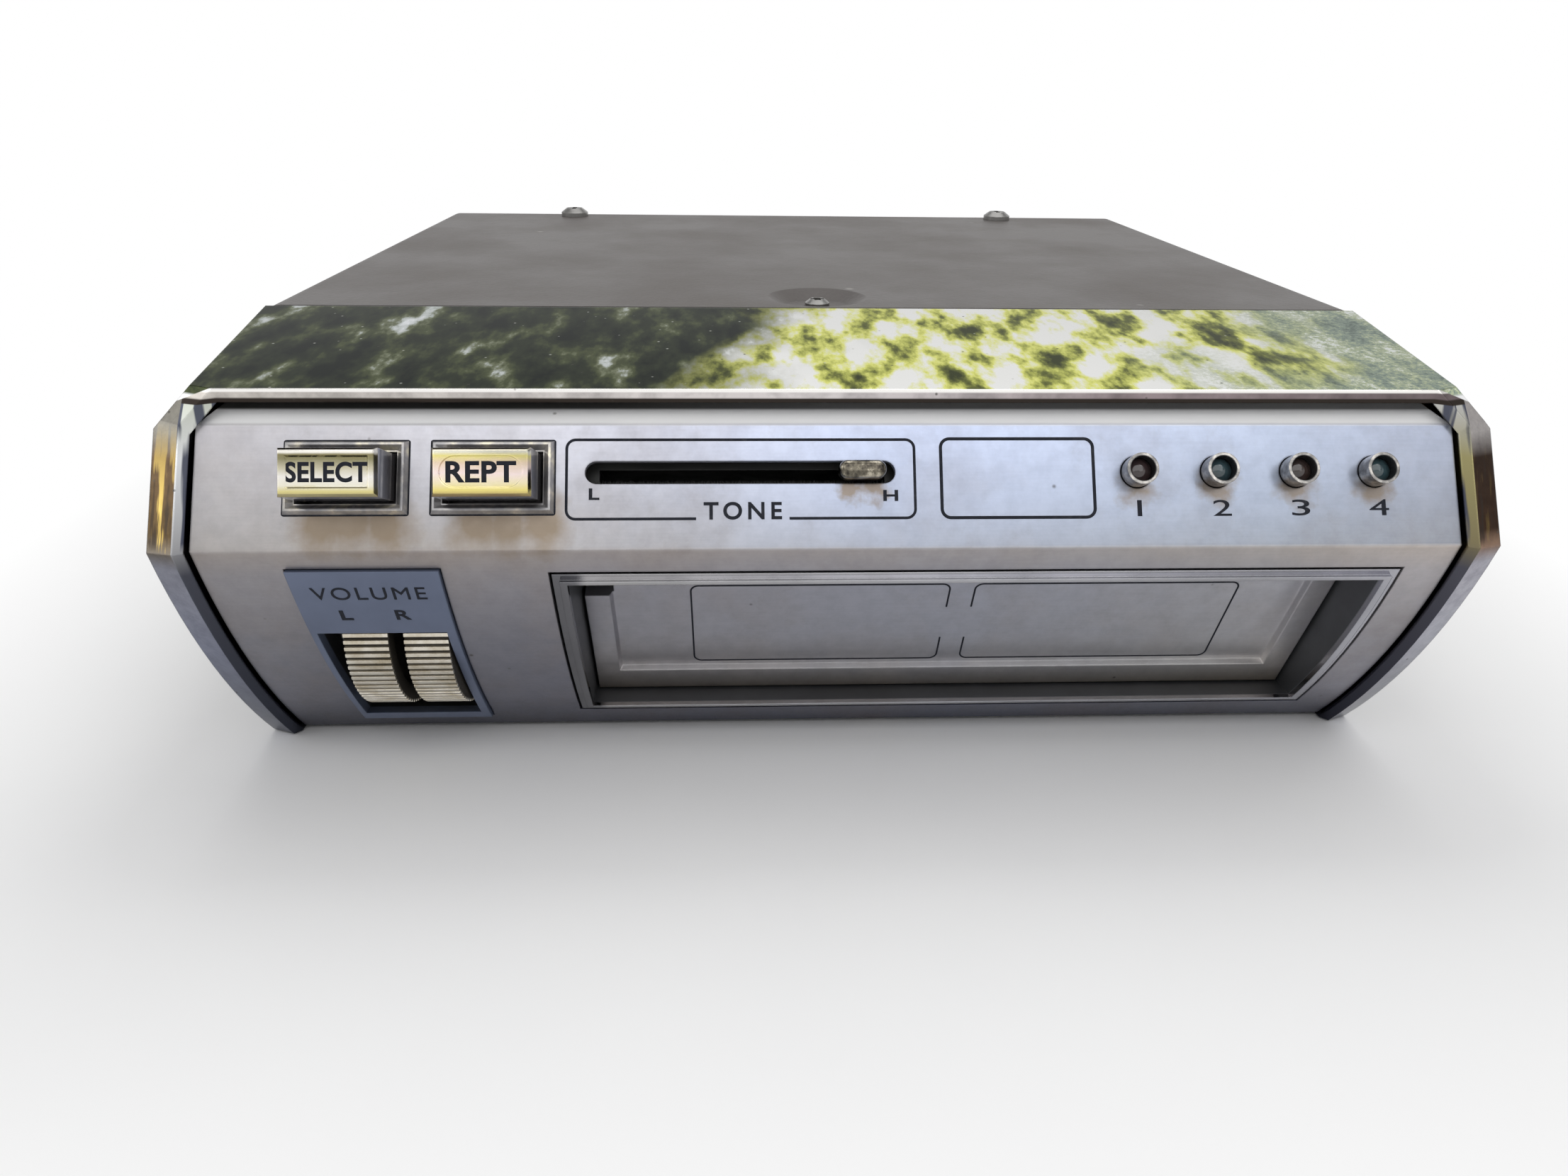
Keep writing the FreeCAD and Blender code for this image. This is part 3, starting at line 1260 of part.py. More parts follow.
def head_carriage():
    low, high = head_low - 1.0, head_low + head_height + 1.0
    reach = guide_rod_pitch / 2.0
    mid_y = guide_rod_y
    shapes = [block(bay_x - reach, bay_x + reach, head_back_y, mid_y, low, high)]
    for place in rod_places():
        shapes.append(rod(sleeve_radius, high - low, place + V(0, 0, low)))
    arm = block(cam_x - 1.6, bay_x - reach, cam_y + 0.4, cam_y + cam_thick - 0.4, foot_low, foot_low + 4.0)
    nose = rod(1.6, cam_thick - 0.8, V(cam_x, cam_y + 0.4, foot_low + 1.6), REARWARD)
    arm = arm.cut(block(cam_x - 2, cam_x, cam_y, cam_y + cam_thick, foot_low - 1, foot_low + 1.6)).fuse(nose)
    solid = join(shapes + [arm])
    for place in rod_places():
        solid = solid.cut(rod(guide_rod_r + pin_gap, width, place - V(0, 0, 2 * nose_height)))
    return solid


def guide_rods():
    return Part.makeCompound([rod(guide_rod_r, deck_top + 1.0 - tray_floor, p + V(0, 0, tray_floor))
                              for p in rod_places()])


def program_cam():
    # snail: each degree past the top lifts the follower by the same amount
    low_r = cam_radius - head_travel
    rate = head_travel / cam_turn
    points = []
    for i in range(cam_steps + 1):
        a = -cam_lead + (cam_turn + 2 * cam_lead) * i / cam_steps
        r = low_r + rate * a
        b = math.radians(a)
        points.append(V(cam_x + r * math.sin(b), cam_y, cam_z + r * math.cos(b)))
    snail = Part.Face(Part.makePolygon(points + points[:1])).extrude(V(0, cam_thick, 0))
    teeth = []
    for i in range(ratchet_teeth):
        for share, r in ((0.0, ratchet_radius), (0.15, ratchet_radius - 2.0)):
            a = 2 * math.pi * (i + share) / ratchet_teeth
            teeth.append(V(cam_x + r * math.sin(a), cam_y + cam_thick, cam_z + r * math.cos(a)))
    ratchet = Part.Face(Part.makePolygon(teeth + teeth[:1])).extrude(V(0, ratchet_thick, 0))
    bore = rod(cam_pin_r + pin_gap, 20.0, V(cam_x, cam_y - 5, cam_z), REARWARD)
    return snail.fuse(ratchet).cut(bore)


def cam_bracket():
    back = cam_y + cam_thick + ratchet_thick + 2.0
    corners = [(cam_x - 8, tray_floor), (cam_x - 4, cam_z + 4), (cam_x + 4, cam_z + 4), (cam_x + 8, tray_floor)]
    shapes = [front_plate(corners, back, back + ear_sheet),
              block(cam_x - 8, cam_x + 8, back, back + 9.0, tray_floor, tray_floor + ear_sheet),
              rod(3.0, 1.7, V(cam_x, back - 1.7, cam_z), REARWARD),
              rod(cam_pin_r, back - cam_y + 2.5, V(cam_x, cam_y - 2.5, cam_z), REARWARD),
              rod(cam_pin_r + 1.0, 1.2, V(cam_x, cam_y - 1.5, cam_z), REARWARD)]
    return join(shapes)


def solenoid_frame():
    h = solenoid_width / 2.0
    x, y = plunger_x, plunger_y
    low, high = tray_floor, solenoid_top
    shapes = [block(x - h, x + h, y - h, y + h, low, low + ear_sheet),
              block(x - h, x + h, y - h, y + h, high - ear_sheet, high),
              block(x - h, x - h + ear_sheet, y - h, y + h, low, high)]
    return join(shapes).cut(rod(plunger_radius + 0.15, 9.0, V(x, y, high - 6)))


def solenoid_coil():
    low, high = tray_floor + ear_sheet, solenoid_top - ear_sheet
    bore = plunger_radius + 0.15
    r = solenoid_width / 2.0 - ear_sheet
    profile = [(bore, low), (r, low), (r, low + 0.8), (r - 0.7, low + 0.8), (r - 0.7, high - 0.8),
               (r, high - 0.8), (r, high), (bore, high)]
    return revolved(profile, plunger_x, plunger_y)


def solenoid_plunger():
    x, y = plunger_x, plunger_y
    low = tray_floor + ear_sheet + plunger_travel + 0.4
    pawl_x = cam_x - ratchet_radius - 0.35
    shapes = [rod(plunger_radius, collar_z + 1.2 - low, V(x, y, low)),
              rod(collar_radius, 1.2, V(x, y, collar_z)),
              block(x, pawl_x, y - 0.8, y + 0.8, collar_z, collar_z + 1.2),
              block(pawl_x - 1.2, pawl_x, y - 0.8, y + 0.8, cam_z - 1.5, collar_z + 1.2)]
    return join(shapes)


def plunger_spring():
    length = collar_z - solenoid_top - 2 * spring_wire - 2 * pin_gap
    return coil(plunger_radius + 0.9, spring_wire, length / spring_turns, spring_turns,
                V(plunger_x, plunger_y, solenoid_top + spring_wire + pin_gap), UPWARD)


def power_switch():
    x0, x1 = switch_x - 7.0, switch_x + 5.0
    body = block(x0, x1, switch_y, switch_y + 10.0, tray_floor, switch_low + 10.0)
    lug = side_plate([(lever_y - 2.0, switch_low), (switch_y + 1, switch_low), (switch_y + 1, switch_low + 1.4),
                      (lever_y - 2.0, switch_low + 1.4)], switch_x - 2.0, switch_x + 2.0)
    upper = lug.copy()
    upper.translate(V(0, 0, lever_height + 1.4 + 0.6))
    pin = rod(lever_pin_r, lever_height + 3.4, V(switch_x, lever_y, switch_low))
    return join([body, lug, upper, pin])


def switch_lever():
    low = switch_low + 1.4 + 0.3
    barrel = rod(lever_pin_r + 0.9, lever_height, V(switch_x, lever_y, low))
    points = [(switch_x, lever_y - 1.5), (switch_x - 9.0, lever_y - 3.6), (switch_x - 11.5, lever_y - 5.2),
              (switch_x - 12.0, lever_y - 4.2), (switch_x - 9.4, lever_y - 2.4), (switch_x, lever_y - 0.3)]
    wire = Part.makePolygon([V(x, y, low) for x, y in points + points[:1]])
    arm = Part.Face(wire).extrude(V(0, 0, lever_height))
    return join([barrel, arm]).cut(rod(lever_pin_r + pin_gap, width, V(switch_x, lever_y, -width / 2.0)))


# ---- electronics
def spacer_places():
    return [V(side * (board_half - 6.0), y, 0) for side in (-1, 1) for y in (board_front + 4, board_rear - 4)]


def main_board():
    solid = block(-board_half, board_half, board_front, board_rear, board_z, board_z + board_sheet)
    for place in spacer_places():
        solid = solid.cut(rod(small_screw_r + pin_gap, 5.0, place + V(0, 0, board_z - 2)))
    return solid


def board_spacers():
    return Part.makeCompound([tube(2.6, small_screw_r + pin_gap, board_z - deck_top, p + V(0, 0, deck_top))
                              for p in spacer_places()])


def capacitors():
    top = board_z + board_sheet
    shapes = []
    for share, r, h in can_sizes:
        foot = V(share * board_half, can_row, top)
        can = rod(r, h, foot)
        ring = tube(r + 1, r - 0.3, 0.8, foot + V(0, 0, h - 2.6))
        shapes.append(can.cut(ring))
    return Part.makeCompound(shapes)


def heat_sink():
    x0, x1 = sink_x - sink_width / 2.0, sink_x + sink_width / 2.0
    front = body_depth - tray_sheet - sink_fin_deep - sink_plate
    back = body_depth - tray_sheet
    shapes = [block(x0, x1, front, front + sink_plate, sink_low, sink_top)]
    for i in range(sink_fins):
        x = x0 + (sink_width - 1.6) * i / (sink_fins - 1)
        shapes.append(block(x, x + 1.6, front + sink_plate, back, sink_low, sink_top))
    return join(shapes)


def amplifier_chips():
    back = body_depth - tray_sheet - sink_fin_deep - sink_plate
    shapes = []
    for x in (sink_x - sink_width / 4.0, sink_x + sink_width / 4.0):
        body = block(x - 9.0, x + 9.0, back - 4.2, back, sink_low + 6.0, sink_low + 15.0)
        tab = block(x - 11.0, x + 11.0, back - 1.4, back, sink_low + 8.0, sink_low + 13.0)
        pins = [block(left, left + 0.7, back - 2.6, back - 2.0, sink_low + 0.4, sink_low + 6.2)
                for left in (x - 8.0 + 2.5 * i for i in range(7))]
        shapes.append(join([body, tab] + pins))
    return Part.makeCompound(shapes)


def noise_choke():
    low, high = deck_top, deck_top + choke_height
    bore, wide, wound = choke_bore, choke_flange, choke_winding
    profile = [(bore, low), (wide, low), (wide, low + 2.0), (wound, low + 2.0),
               (wound, high - 2.0), (wide, high - 2.0), (wide, high), (bore, high)]
    return revolved(profile, choke_x, choke_y)


def rear_gland():
    y = body_depth - tray_sheet
    r = gland_hole_r
    profile = [(gland_bore_r, y - 3.0), (r + 2.0, y - 3.0), (r + 2.0, y), (r, y), (r, body_depth),
               (r + 2.2, body_depth), (r + 1.2, body_depth + gland_out), (gland_bore_r, body_depth + gland_out)]
    wire = Part.makePolygon([V(gland_x + a, b, gland_z) for a, b in profile + profile[:1]])
    return Part.Face(wire).revolve(V(gland_x, 0, gland_z), REARWARD, 360)


def build_all():
    return {
        "bezel": bezel(), "front_panel": front_panel(), "panel_carrier": panel_carrier(),
        "top_cover": top_cover(), "base_tray": base_tray(), "front_bridge": front_bridge(),
        "cover_screws": cover_screws(), "bezel_screws": bezel_screws(), "side_nuts": side_nuts(),
        "door_frame": door_frame(), "door_flap": door_flap(), "door_hinge_pin": door_hinge_pin(),
        "door_spring": door_spring(), "volume_plate": volume_plate(),
        "volume_wheel_left": volume_wheel(left_wheel_x, -1),
        "volume_wheel_right": volume_wheel(right_wheel_x, 1),
        "volume_pots": volume_pots(), "volume_bracket": volume_bracket(),
        "select_surround": button_surround(select_x), "repeat_surround": button_surround(repeat_x),
        "select_button": push_button(select_x, True), "repeat_button": push_button(repeat_x, False),
        "switch_bracket": switch_bracket(), "button_switches": button_switches(),
        "slide_pot": slide_pot(), "tone_knob": tone_knob(), "lamp_tubes": lamp_tubes(),
        "program_lenses": program_lenses(), "lamp_bulbs": lamp_bulbs(), "lamp_holder": lamp_holder(),
        "cartridge_guide": cartridge_guide(), "cartridge_spring": cartridge_spring(),
        "deck_plate": deck_plate(), "deck_pillars": deck_pillars(), "deck_screws": deck_screws(),
        "thrust_bearing": thrust_bearing(), "capstan_bush": capstan_bush(),
        "capstan_shaft": capstan_shaft(), "flywheel": flywheel(), "motor": motor(),
        "motor_pulley": motor_pulley(), "drive_belt": drive_belt(), "tape_head": tape_head(),
        "head_carriage": head_carriage(), "guide_rods": guide_rods(), "program_cam": program_cam(),
        "cam_bracket": cam_bracket(), "solenoid_frame": solenoid_frame(),
        "solenoid_coil": solenoid_coil(), "solenoid_plunger": solenoid_plunger(),
        "plunger_spring": plunger_spring(), "power_switch": power_switch(),
        "switch_lever": switch_lever(), "main_board": main_board(), "board_spacers": board_spacers(),
        "capacitors": capacitors(), "heat_sink": heat_sink(), "amplifier_chips": amplifier_chips(),
        "noise_choke": noise_choke(), "rear_gland": rear_gland(),
    }


def main():
    os.makedirs("parts", exist_ok=True)
    home = V(0, -(body_depth + gland_out) / 2.0, nose_height)
    for name, shape in build_all().items():
        shape.translate(home)
        shape.exportStep("parts/%s.step" % name)
        print(name, shape.isValid(), len(shape.Solids), round(shape.Volume, 1))


main()
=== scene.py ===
import math

import bpy
from mathutils import Matrix, Vector


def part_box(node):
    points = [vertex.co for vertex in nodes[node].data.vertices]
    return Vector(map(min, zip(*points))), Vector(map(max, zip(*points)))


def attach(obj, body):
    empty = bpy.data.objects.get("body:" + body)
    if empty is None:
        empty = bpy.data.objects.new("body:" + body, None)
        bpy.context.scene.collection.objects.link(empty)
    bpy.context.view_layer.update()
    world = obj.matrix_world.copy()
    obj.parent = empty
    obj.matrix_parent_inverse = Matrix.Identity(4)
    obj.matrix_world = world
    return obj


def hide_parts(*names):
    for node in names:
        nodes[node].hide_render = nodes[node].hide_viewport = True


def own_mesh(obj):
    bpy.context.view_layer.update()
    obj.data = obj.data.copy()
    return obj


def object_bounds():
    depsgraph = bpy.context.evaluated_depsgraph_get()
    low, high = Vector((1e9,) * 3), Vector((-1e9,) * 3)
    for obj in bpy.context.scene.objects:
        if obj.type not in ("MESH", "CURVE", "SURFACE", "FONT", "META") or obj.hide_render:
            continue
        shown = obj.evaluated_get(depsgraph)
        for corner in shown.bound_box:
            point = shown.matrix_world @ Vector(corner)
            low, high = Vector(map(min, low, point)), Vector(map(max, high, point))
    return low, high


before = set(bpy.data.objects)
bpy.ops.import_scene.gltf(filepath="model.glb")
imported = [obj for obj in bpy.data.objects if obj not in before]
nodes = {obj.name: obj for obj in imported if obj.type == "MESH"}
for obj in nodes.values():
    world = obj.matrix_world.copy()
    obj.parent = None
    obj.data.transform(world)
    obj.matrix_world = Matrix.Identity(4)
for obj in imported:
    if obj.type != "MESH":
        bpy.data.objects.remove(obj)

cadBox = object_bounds()
mm = 0.001

# the front's form, in millimetres from its nose line
frontForm = {
    "noseY": -87.3,          # nose line in the frame
    "noseZ": 41.5,
    "faceLean": 32.5,        # upper face, degrees back from upright
    "sweepRadius": 112.0,    # bulge of the lower face
    "sweepStart": 15.0,
    "panelRecess": 1.6,
    "buttonDroop": 6.0,
    "buttonRise": 9.7,
    "buttonOut": 7.0,
    "flapLean": 21.5,
    "flapPinY": 13.55,
    "flapPinZ": -8.45,
    "flapField": 0.7,        # door's sunk field ahead of its pin
}


def place(x, y, z):
    return Vector((x, y + frontForm["noseY"], z + frontForm["noseZ"])) * mm


def basis(origin, across, along, out):
    # matrix that takes flat work in x and y onto a surface
    turned = Matrix((across, along, out)).transposed().to_4x4()
    return Matrix.Translation(origin) @ turned


def sweepCentre():
    start = math.radians(frontForm["sweepStart"])
    radius = frontForm["sweepRadius"]
    return Vector((0, radius * math.cos(start), radius * math.sin(start)))


def faceAxes(lean):
    angle = math.radians(lean)
    up = Vector((0, math.sin(angle), math.cos(angle)))
    out = Vector((0, -math.cos(angle), math.sin(angle)))
    return up, out


def creasePoint(depth):
    # fold between the upper and the lower face, sunk by depth
    up, out = faceAxes(frontForm["faceLean"])
    foot = out * -depth - sweepCentre()
    b = foot.dot(up)
    c = foot.dot(foot) - (frontForm["sweepRadius"] - depth) ** 2
    return out * -depth + up * (-b - math.sqrt(b * b - c))


acrossAxis = Vector((1, 0, 0))


def upperFace(x, rise, lift):
    # spot on the panel's upper face
    up, out = faceAxes(frontForm["faceLean"])
    spot = creasePoint(frontForm["panelRecess"]) + up * rise + out * lift
    return basis(place(x, spot.y, spot.z), acrossAxis, up, out)


def buttonFace(x, lift):
    up, _ = faceAxes(frontForm["faceLean"])
    spot = creasePoint(frontForm["panelRecess"]) + up * frontForm["buttonRise"]
    along, out = faceAxes(frontForm["faceLean"] - frontForm["buttonDroop"])
    spot = spot + out * lift
    return basis(place(x, spot.y, spot.z), acrossAxis, along, out)


def lowerFace(x, z, depth):
    # spot on the bulged lower face at a height
    centre = sweepCentre()
    radius = frontForm["sweepRadius"] - depth
    y = centre.y - math.sqrt(radius ** 2 - (z - centre.z) ** 2)
    out = (Vector((0, y, z)) - centre).normalized()
    along = out.cross(acrossAxis) * -1.0
    if along.z < 0:
        along = -along
    return basis(place(x, y, z), acrossAxis, along, out)


def flapFace(x, down, lift):
    angle = math.radians(frontForm["flapLean"])
    along = Vector((0, -math.sin(angle), math.cos(angle)))
    out = Vector((0, -math.cos(angle), -math.sin(angle)))
    spot = Vector((0, frontForm["flapPinY"], frontForm["flapPinZ"]))
    spot = spot - along * down + out * (frontForm["flapField"] + lift)
    return basis(place(x, spot.y, spot.z), acrossAxis, along, out)


def newFinish(name, dress, *given):
    # material that the dressing function fills in, from its shader and the Object coordinates
    material = bpy.data.materials.new(name)
    material.use_nodes = True
    tree = material.node_tree
    coords = tree.nodes.new("ShaderNodeTexCoord").outputs["Object"]
    dress(tree.nodes["Principled BSDF"], coords, *given)
    return material


def feed(node, values):
    # links what is a socket and sets what is a plain value
    for key, value in values.items():
        if hasattr(value, "is_output"):
            node.id_data.links.new(value, node.inputs[key])
        else:
            node.inputs[key].default_value = value


def addNode(beside, kind, values=None, **settings):
    # new node in the tree that holds the given socket or node
    node = beside.id_data.nodes.new(kind)
    for key, value in settings.items():
        setattr(node, key, value)
    feed(node, values or {})
    return node


def separated(coords):
    return addNode(coords, "ShaderNodeSeparateXYZ", {"Vector": coords}).outputs


def stretched(coords, scale):
    return addNode(coords, "ShaderNodeMapping", {"Vector": coords, "Scale": scale}).outputs["Vector"]


def noiseValue(coords, size, detail=4.0, rough=0.55):
    # soft random value, size is the grain in millimetres
    values = {"Vector": coords, "Scale": 1.0 / (size * mm), "Detail": detail, "Roughness": rough}
    return addNode(coords, "ShaderNodeTexNoise", values).outputs["Fac"]


def cellOutputs(coords, size, **settings):
    values = {"Vector": coords, "Scale": 1.0 / (size * mm)}
    return addNode(coords, "ShaderNodeTexVoronoi", values, **settings).outputs


def ramped(value, low, high, toLow=0.0, toHigh=1.0):
    values = {"Value": value, "From Min": low, "From Max": high, "To Min": toLow, "To Max": toHigh}
    return addNode(value, "ShaderNodeMapRange", values).outputs["Result"]


def between(value, span, toLow=0.0, toHigh=1.0):
    # the same over a span in millimetres
    return ramped(value, span[0] * mm, span[1] * mm, toLow, toHigh)


def maths(operation, a, b=0.0):
    return addNode(a, "ShaderNodeMath", {0: a, 1: b}, operation=operation).outputs["Value"]


def times(a, b):
    return maths("MULTIPLY", a, b)


def plus(a, b):
    return maths("ADD", a, b)


def vectorMaths(operation, a, b=(0.0, 0.0, 0.0)):
    node = addNode(a, "ShaderNodeVectorMath", {0: a, 1: tuple(b)}, operation=operation)
    return node.outputs["Value" if operation in ("DISTANCE", "DOT_PRODUCT", "LENGTH") else "Vector"]


def mixed(factor, a, b):
    return addNode(factor, "ShaderNodeMix", {0: factor, 6: a, 7: b}, data_type="RGBA").outputs[2]


def laid(under, over, mask, strength):
    # one colour over another where the mask is, at a strength
    return mixed(times(mask, strength), under, over)


def multiplied(a, b):
    values = {0: 1.0, 6: a, 7: b}
    return addNode(a, "ShaderNodeMix", values, data_type="RGBA", blend_type="MULTIPLY").outputs[2]


def grey(level):
    return (level, level, level)


def rgb(colour, factor=1.0):
    return (colour[0] * factor, colour[1] * factor, colour[2] * factor, 1.0)


def colourRamp(value, stops):
    # stops are (position from 0 to 1, colour)
    node = addNode(value, "ShaderNodeValToRGB", {"Fac": value})
    points = node.color_ramp.elements
    points[0].position, points[0].color = stops[0][0], rgb(stops[0][1])
    points[1].position, points[1].color = stops[-1][0], rgb(stops[-1][1])
    for position, colour in stops[1:-1]:
        points.new(position).color = rgb(colour)
    return node.outputs["Color"]


def alongAxis(coords, axis, stops):
    # colour that changes along X or Z, stops are (millimetres in the frame, colour)
    first, last = stops[0][0], stops[-1][0]
    share = between(separated(coords)[axis], (first, last))
    return colourRamp(share, [((at - first) / (last - first), colour) for at, colour in stops])


def twoAlong(mask, coords, axis, first, second):
    return mixed(mask, alongAxis(coords, axis, first), alongAxis(coords, axis, second))


def specks(coords, size, share):
    # small round flecks, share is how many of the cells hold one
    cells = cellOutputs(coords, size)
    chosen = addNode(coords, "ShaderNodeSeparateColor", {"Color": cells["Color"]})
    dot = ramped(cells["Distance"], 0.06, 0.16, 1.0, 0.0)
    return times(dot, maths("LESS_THAN", chosen.outputs[0], share))


def nearSpots(coords, spots, reach):
    # 1 at the spots and 0 beyond their reach, with an edge that wanders by a millimetre
    wander = noiseValue(coords, reach * 0.8, 5.0)
    total = None
    for spot in spots:
        away = vectorMaths("DISTANCE", coords, spot)
        ragged = plus(away, ramped(wander, 0.3, 0.7, -mm, mm))
        shade = between(ragged, (0.35 * reach, reach), 1.0, 0.0)
        total = shade if total is None else maths("MAXIMUM", total, shade)
    return total


def planeGap(coords, origin, out):
    # how far ahead of a plane the surface lies
    return vectorMaths("DOT_PRODUCT", vectorMaths("SUBTRACT", coords, origin), out)


def axleReach(coords, y, z):
    # distance from a line that runs along X
    return vectorMaths("DISTANCE", vectorMaths("MULTIPLY", coords, (0.0, 1.0, 1.0)), (0.0, y, z))


def rounded(shader, radius, height, strength, distance):
    # softens the edges to the eye and adds the fine relief
    edge = addNode(shader, "ShaderNodeBevel", {"Radius": radius * mm}, samples=4).outputs["Normal"]
    relief = {"Strength": strength, "Distance": distance * mm, "Height": height, "Normal": edge}
    feed(shader, {"Normal": addNode(shader, "ShaderNodeBump", relief).outputs["Normal"]})


plating = {"pitSize": 1.6, "pitShare": 0.07, "pitColour": (0.1, 0.095, 0.085), "pitHaze": 0.4,
           "scratchSize": 1.4, "scratchHaze": 0.1, "filmSize": 20.0, "filmHaze": 0.09}


def plateSurface(shader, coords, colour, roughness, edge, pitted=1.0, grazing=1.0):
    # what all the plating shares: pits, hairline scratches and a hazy film over the given colour
    f = plating
    film = ramped(noiseValue(coords, f["filmSize"], 5.0), 0.45, 0.75)
    scratch = noiseValue(stretched(coords, (1.0, 9.0, 9.0)), f["scratchSize"], 3.0)
    pits = specks(coords, f["pitSize"], f["pitShare"] * pitted)
    rough = ramped(film, 0.0, 1.0, roughness, roughness + f["filmHaze"])
    rough = plus(plus(rough, times(pits, f["pitHaze"])), ramped(scratch, 0.62, 0.8, 0.0, f["scratchHaze"]))
    feed(shader, {"Base Color": laid(colour, rgb(f["pitColour"]), pits, 0.8), "Roughness": rough,
                  "Metallic": 1.0, "Specular Tint": rgb(grey(grazing))})
    rounded(shader, edge, maths("SUBTRACT", times(scratch, 0.15), pits), 0.1, 0.04)


mirrorFinish = {
    "grazing": 0.58,       # painted dark reflection patches stay dark at a low angle
    "ridgeY": -75.43,      # bright edge between the top and the front of the frame
    "ridgeZ": 60.05,
    "slope": 0.1023,       # the top rises to the rear
    "outerX": 89.95,       # side walls lie beyond this
    "bevelX": 86.25,       # inner bevel lies nearer the middle
    "lipZ": 58.2,          # and above this under the top
    "lipShadowZ": (58.7, 58.9),
    "lipHighlightZ": (59.5, 59.7),
    "topZ": (54.0, 54.8),  # nothing lower counts as the top
    "underTop": (-1.0, -0.7),
    "patch": 4.3,
    "wander": 12.0,        # its three parts run into each other by this
    "leftToMiddle": (-22.0, 4.0),
    "middleToRight": (52.0, 78.0),
    "streakStart": (41.5, 42.5),
    "streakEnd": (46.0, 56.0),
    # painted reflections on the top: dark olive and pale patches, left, middle and right
    "leftPaintedReflections": ((0.36, (0.014, 0.018, 0.015)), (0.47, (0.034, 0.042, 0.026)),
                    (0.54, (0.085, 0.1, 0.048)), (0.58, (0.2, 0.22, 0.14)), (0.62, (0.58, 0.62, 0.6)),
                    (0.69, (0.9, 0.93, 0.96))),
    "middlePaintedReflections": ((0.35, (0.045, 0.055, 0.018)), (0.41, (0.17, 0.19, 0.045)), (0.45, (0.5, 0.53, 0.12)),
                      (0.49, (0.86, 0.88, 0.24)), (0.52, (0.92, 0.93, 0.56)), (0.56, (0.98, 0.98, 0.96))),
    "rightPaintedReflections": ((0.36, (0.12, 0.16, 0.14)), (0.47, (0.29, 0.36, 0.3)), (0.54, (0.5, 0.56, 0.36)),
                     (0.61, (0.88, 0.92, 0.89))),
    # painted reflections and shade down the front bands, by height and by side
    "leftBandReflection": ((4.0, (0.21, 0.225, 0.285)), (24.0, (0.24, 0.255, 0.325)), (39.0, (0.23, 0.235, 0.275)),
                 (41.6, (0.14, 0.12, 0.095)), (43.5, (0.095, 0.064, 0.031)), (52.0, (0.105, 0.07, 0.042)),
                 (55.0, (0.2, 0.19, 0.165))),
    "rightBandReflection": ((4.0, (0.46, 0.465, 0.52)), (24.0, (0.53, 0.535, 0.6)), (39.0, (0.41, 0.405, 0.45)),
                  (41.6, (0.26, 0.17, 0.12)), (43.5, (0.042, 0.024, 0.016)), (52.0, (0.036, 0.024, 0.018)),
                  (55.0, (0.34, 0.32, 0.31))),
    # painted reflections on the inner bevels, by height and by side
    "leftBevelReflection": ((4.0, (0.055, 0.06, 0.08)), (38.0, (0.08, 0.084, 0.105)), (42.0, (0.3, 0.3, 0.31)),
                  (52.0, (0.66, 0.67, 0.68)), (58.0, (0.5, 0.52, 0.46))),
    "rightBevelReflection": ((4.0, (0.045, 0.046, 0.062)), (38.0, (0.085, 0.085, 0.105)), (42.0, (0.2, 0.17, 0.095)),
                   (52.0, (0.3, 0.27, 0.13)), (58.0, (0.46, 0.46, 0.44))),
    # painted shade along the lip, darker to the right, and a painted highlight on its top edge
    "lip": ((-86.0, (0.66, 0.62, 0.57)), (0.0, (0.64, 0.6, 0.6)), (40.0, (0.32, 0.26, 0.27)),
            (86.0, (0.18, 0.145, 0.15))),
    "lipHighlight": (0.92, 0.9, 0.87),
    "glint": (0.62, 0.45, 0.13),
    # dark colour for the painted reflection streaks on the bands and the painted shadow under the lip
    "shadow": (0.035, 0.028, 0.024),
    "bevelReflectionLine": (0.045, 0.052, 0.085),
    "wall": (0.5, 0.5, 0.51),
    # pale painted light on the shaded faces under the bezel's top
    "underside": (0.86, 0.86, 0.87),
    "dust": (0.62, 0.63, 0.58),
}


